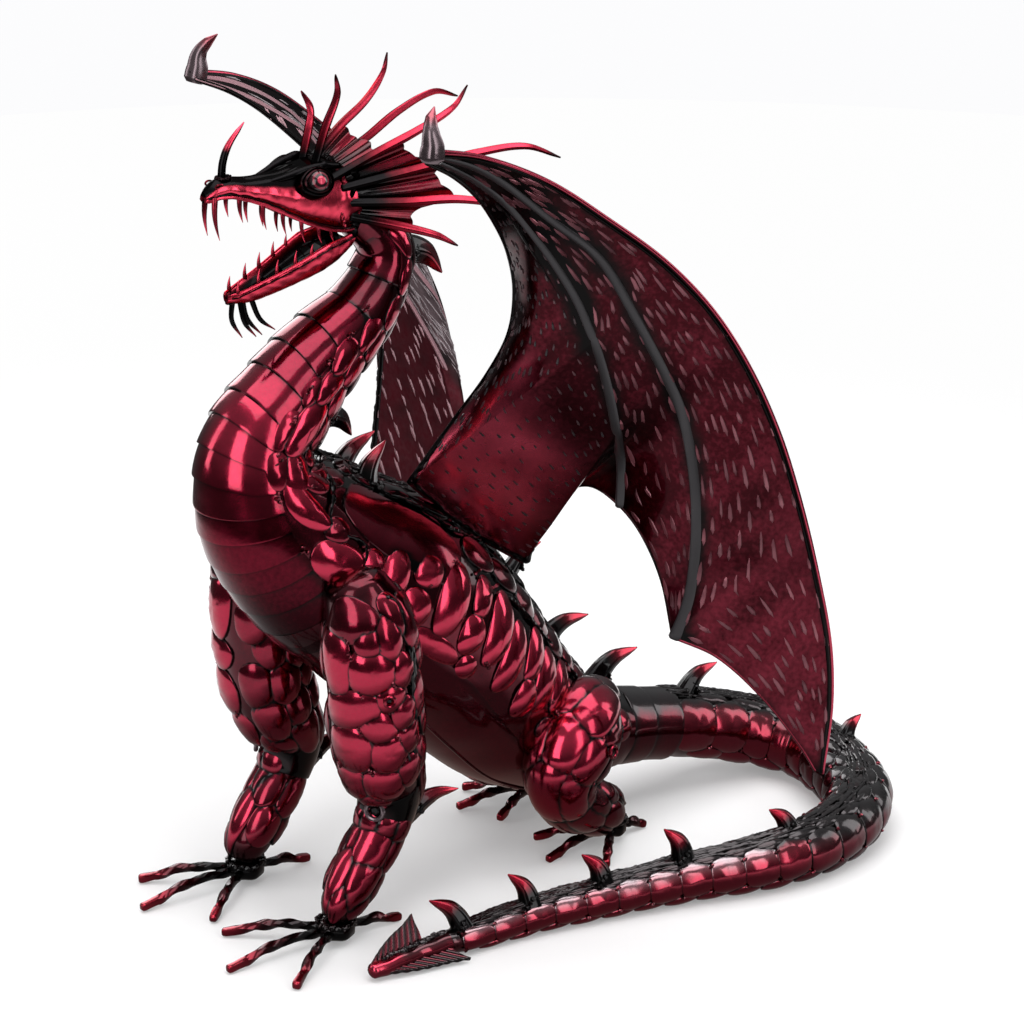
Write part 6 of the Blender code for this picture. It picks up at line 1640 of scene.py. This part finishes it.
    # welds where the wing meets the back
    for q0, q1 in ((9.6, 15.0),):
        qi = np.linspace(q0, q1, 50)
        p = sheet.at(qi, 0.99)
        weld_run(trim, p + np.array([sign * 0.002, 0, 0.001]), 0.0028, 201)
        weld_run(trim, p + np.array([sign * 0.003, 0.003, -0.002]), 0.0022, 202)
    trim.build(WING_RED, "dark_red_lacquer", sharp=60)
    lean = {"base": 0.0, "mid": 0.004, "tip": 0.009} if sign < 0 else {"base": 0.0, "mid": 0.0, "tip": 0.0}
    pts = [(CLAW[k][0] * sign, CLAW[k][1] + lean[k], CLAW[k][2]) for k in ("base", "mid", "tip")]
    n = 30
    share = np.linspace(0, 1, n)
    claw = Shape("wing_claw_blade_" + side_name)
    way = np.array([0.60, 0.80, 0.0])                       # across the blade
    path = spline(pts, n)
    half = np.interp(share, [0, 0.12, 0.24, 0.42, 0.60, 0.80, 0.93, 1.0], [0.0112, 0.0112, 0.0104, 0.0084, 0.0066, 0.0050, 0.0022, 0.0007])
    path = path - way * np.interp(share, [0, 0.24, 0.42, 0.60, 0.80, 1.0], [0.0, 0.0, 0.0018, 0.0030, 0.0026, 0.0])[:, None]
    tube(claw, path, half, 20, soot=np.clip(0.96 - 0.82 * smooth(share, 0.40, 0.95), 0, 1), tone=0.10 + 0.70 * smooth(share, 0.35, 0.9),
         side=tuple(way), flat=0.62, power=1.35)
    claw.build(CLAW_GREY, "dark_red_lacquer", ["wing_claw_" + side_name], sharp=60)

# ---------------------------------------------------------------- arrowhead
spade = Shape("tail_spade_leaf")
stem = Limb(TAIL_END, flat_side, n=200, floor=True)
skin(spade, stem, 60, 36, 0.0, lambda S, TH: (0.30 + 0.4 * smooth(np.sin(TH), 0.2, 0.9)) * (1 - smooth(S, 0.55, 0.85)), lambda S, TH: 0.45 + 0.45 * smooth(S, 0.55, 0.85), dome=(0.0, 0.005))
tip_nose = np.array([0.1718, 0.0640, 0.0090])
heels = {1: np.array([0.1710, 0.1290, 0.0150]), -1: np.array([0.1710, 0.1440, 0.0150])}
barbs = {1: np.array([0.1490, 0.1285, 0.0430]), -1: np.array([0.1988, 0.1635, 0.0045])}
for key, barb in barbs.items():
    heel = heels[key]
    F, G = np.meshgrid(np.linspace(0, 1, 56), np.linspace(0, 1, 30), indexing="ij")
    side = (barb - heel) / np.linalg.norm(barb - heel)
    centre = tip_nose * (1 - F[..., None]) + heel * F[..., None]
    edge = tip_nose * (1 - F[..., None]) + barb * F[..., None]
    edge = edge + side * (0.0035 * np.sin(math.pi * np.minimum(1.0, F * 1.25)) + 0.0040 * (1 - F))[..., None]
    P = centre * (1 - G[..., None]) + edge * G[..., None]
    nrm = np.cross(heel - tip_nose, barb - heel)
    nrm /= np.linalg.norm(nrm)
    chevron = np.sin((F * 9 - G * 1.6) * TAU) * smooth(G, 0.05, 0.2) * smooth(F, 0.10, 0.25)
    lift = 0.0017 + 0.0007 * chevron
    so = np.clip((0.62 if key > 0 else 0.66) - 0.16 * chevron + 0.25 * smooth(G, 0.85, 1.0) - 0.55 * smooth(0.24 - F, 0, 0.2), 0, 1)
    spade.slab(P + nrm * lift[..., None], P - nrm * lift[..., None], so.ravel(), np.clip(0.30 + 0.2 * chevron + 0.5 * smooth(0.2 - F, 0, 0.2), 0, 1).ravel())
for j in range(10):
    a = TAU * j / 10
    blob(spade, (0.1720 + 0.0045 * math.cos(a), 0.0700, 0.0105 + 0.0045 * math.sin(a)), 0.0026, (math.cos(a), 0, math.sin(a)), 1.2, 0.25, 4100 + j, 0.35, 0.7)
beads(spade, stem.at(np.linspace(0.05, 0.85, 40), UP, 0.001), 0.0026, 1.3, 301, 0.9, 0.3, 0.5, 1.5)
spade.build(TAIL_RED, "dark_red_lacquer", ["tail_spade"], sharp=45)


# ---------------------------------------------------------------- floor, light and camera
def stage_material():
    mat = bpy.data.materials.new("studio_paper")
    mat.use_nodes = True
    shader = mat.node_tree.nodes["Principled BSDF"]
    shader.inputs["Base Color"].default_value = (0.90, 0.90, 0.90, 1.0)
    shader.inputs["Roughness"].default_value = 0.9
    shader.inputs["Specular IOR Level"].default_value = 0.1
    return mat


def paper_disc(name, radius, z, material):
    bm = bmesh.new()
    bmesh.ops.create_circle(bm, cap_ends=True, segments=128, radius=radius, matrix=Matrix.Translation((0, 0, z)))
    mesh = bpy.data.meshes.new(name)
    bm.to_mesh(mesh)
    bm.free()
    mesh.materials.append(material)
    obj = bpy.data.objects.new(name, mesh)
    bpy.context.scene.collection.objects.link(obj)
    return obj


# white table: the wide sheet is what is seen, the small one is what the lacquer mirrors
sheet = bpy.data.materials.new("table_paper")
sheet.use_nodes = True
st = sheet.node_tree
sh = st.nodes["Principled BSDF"]
sh.inputs["Roughness"].default_value = 0.9
sh.inputs["Specular IOR Level"].default_value = 0.1
sco = st.nodes.new("ShaderNodeTexCoord")
length = st.nodes.new("ShaderNodeVectorMath")
length.operation = "LENGTH"
st.links.new(sco.outputs["Object"], length.inputs[0])
for socket, low, high in (("Base Color", 0.62, 0.0), ("Emission Color", 0.22, 0.98)):
    span = st.nodes.new("ShaderNodeMapRange")
    span.interpolation_type = "SMOOTHSTEP"
    span.inputs["From Min"].default_value = 0.55
    span.inputs["From Max"].default_value = 1.9
    span.inputs["To Min"].default_value = low
    span.inputs["To Max"].default_value = high
    st.links.new(length.outputs["Value"], span.inputs["Value"])
    st.links.new(span.outputs["Result"], sh.inputs[socket])
sh.inputs["Emission Strength"].default_value = 1.0
floor = paper_disc("floor", 3.4, -0.0006, sheet)
floor.visible_glossy = False
glow = bpy.data.materials.new("table_glow_painted_shadow")
glow.use_nodes = True
gt = glow.node_tree
gs = gt.nodes["Principled BSDF"]
gs.inputs["Base Color"].default_value = (0.0, 0.0, 0.0, 1.0)
gs.inputs["Specular IOR Level"].default_value = 0.0
gco = gt.nodes.new("ShaderNodeTexCoord")
glen = gt.nodes.new("ShaderNodeVectorMath")
glen.operation = "LENGTH"
gt.links.new(gco.outputs["Object"], glen.inputs[0])
gramp = gt.nodes.new("ShaderNodeValToRGB")
gmap = gt.nodes.new("ShaderNodeMapRange")
gmap.inputs["From Max"].default_value = 1.4
gt.links.new(glen.outputs["Value"], gmap.inputs["Value"])
gt.links.new(gmap.outputs["Result"], gramp.inputs["Fac"])
# The disc glows in a ring round the statue, a glowing stand-in for the lit table; its dim brownish middle is a painted
# shadow of the statue, as an emitting disc takes no shadow.
stops = gramp.color_ramp.elements
stops[0].position, stops[0].color = 0.0, (0.20, 0.14, 0.12, 1)
stops[1].position, stops[1].color = 1.0, (0.03, 0.03, 0.03, 1)
for place, level in ((0.24, 0.15), (0.33, 0.50), (0.42, 1.05), (0.80, 1.20), (0.88, 0.60), (0.93, 0.08)):
    p = stops.new(place)
    p.color = (level, level, level, 1)
gt.links.new(gramp.outputs["Color"], gs.inputs["Emission Color"])
gs.inputs["Emission Strength"].default_value = 1.0
table = paper_disc("table_mirror", 1.4, -0.0005, glow)
for use in ("visible_camera", "visible_diffuse", "visible_shadow", "visible_transmission", "visible_volume_scatter"):
    setattr(table, use, False)

# a pale round backdrop behind everything
bm = bmesh.new()
bmesh.ops.create_uvsphere(bm, u_segments=64, v_segments=32, radius=9.0)
dome_mesh = bpy.data.meshes.new("backdrop")
bm.to_mesh(dome_mesh)
bm.free()
paper = bpy.data.materials.new("backdrop_paper")
paper.use_nodes = True
shader = paper.node_tree.nodes["Principled BSDF"]
shader.inputs["Base Color"].default_value = (0.0, 0.0, 0.0, 1.0)
shader.inputs["Emission Color"].default_value = (0.96, 0.96, 0.97, 1.0)
shader.inputs["Emission Strength"].default_value = 1.0
dome_mesh.materials.append(paper)
dome = bpy.data.objects.new("backdrop", dome_mesh)
bpy.context.scene.collection.objects.link(dome)
for use in ("visible_glossy", "visible_diffuse", "visible_shadow", "visible_transmission", "visible_volume_scatter"):
    setattr(dome, use, False)

world = bpy.data.worlds.new("studio")
bpy.context.scene.world = world
world.use_nodes = True
wt = world.node_tree
back = wt.nodes["Background"]
wco = wt.nodes.new("ShaderNodeTexCoord")
wsep = wt.nodes.new("ShaderNodeSeparateXYZ")
wramp = wt.nodes.new("ShaderNodeValToRGB")
wt.links.new(wco.outputs["Generated"], wsep.inputs[0])
wmap = wt.nodes.new("ShaderNodeMapRange")
wmap.inputs["From Min"].default_value = -1.0
wmap.inputs["From Max"].default_value = 1.0
wt.links.new(wsep.outputs["Z"], wmap.inputs["Value"])
wt.links.new(wmap.outputs["Result"], wramp.inputs["Fac"])
points = wramp.color_ramp.elements
points[0].position, points[0].color = 0.0, (0.050, 0.044, 0.044, 1)
points[1].position, points[1].color = 1.0, (0.55, 0.55, 0.56, 1)
for place, level in ((0.46, 0.075), (0.54, 0.11), (0.62, 0.22), (0.78, 0.42)):
    p = points.new(place)
    p.color = (level, level, level * 1.02, 1)
wt.links.new(wramp.outputs["Color"], back.inputs["Color"])
back.inputs["Strength"].default_value = 1.0


def softbox(name, place, target, size, glow):
    """A rectangular lamp of the given brightness (radiance)."""
    light = bpy.data.lights.new(name, "AREA")
    light.shape = "RECTANGLE"
    light.size, light.size_y = size
    light.energy = glow * math.pi * size[0] * size[1]
    obj = bpy.data.objects.new(name, light)
    bpy.context.scene.collection.objects.link(obj)
    way = Vector(target) - Vector(place)
    obj.matrix_world = Matrix.Translation(place) @ way.to_track_quat("-Z", "Y").to_matrix().to_4x4()
    obj.visible_camera = False
    return obj


def around(azimuth, distance, z):
    a = math.radians(azimuth)
    return (distance * math.sin(a), -distance * math.cos(a), z)


softbox("overhead_softbox", (0.1, 0.0, 2.9), (0, 0, 0.3), (2.9, 2.9), 3.5)
softbox("key_softbox", around(24, 3.1, 1.55), (0, 0, 0.42), (1.35, 2.5), 3.7)
softbox("side_softbox", around(92, 3.1, 1.55), (0, 0, 0.42), (1.0, 2.5), 3.4)
softbox("rear_softbox", around(154, 3.1, 1.6), (0, 0, 0.4), (1.2, 2.2), 3.2)
softbox("far_softbox", around(262, 3.1, 1.6), (0, 0, 0.4), (1.2, 2.2), 3.2)
softbox("front_softbox", around(-38, 3.1, 1.6), (0, 0, 0.4), (0.7, 2.2), 3.0)

az, el = math.radians(53.274), math.radians(20.250)
back_v = Vector((math.sin(az) * math.cos(el), -math.cos(az) * math.cos(el), math.sin(el)))
right_v = Vector((math.cos(az), math.sin(az), 0.0))
up_v = back_v.cross(right_v)
cam_at = Vector((2.47488, -1.485, 1.50030)) + Vector(SHIFT)
cam_data = bpy.data.cameras.new("camera")
cam_data.sensor_fit = "HORIZONTAL"
cam_data.sensor_width = 36.0
cam_data.lens = 3271.36 / 1024.0 * 36.0
cam_data.clip_end = 20.0
cam = bpy.data.objects.new("camera", cam_data)
bpy.context.scene.collection.objects.link(cam)
cam.matrix_world = Matrix((
    (right_v.x, up_v.x, back_v.x, cam_at.x),
    (right_v.y, up_v.y, back_v.y, cam_at.y),
    (right_v.z, up_v.z, back_v.z, cam_at.z),
    (0, 0, 0, 1)))
bpy.context.scene.camera = cam
bpy.context.scene.view_settings.view_transform = "Standard"
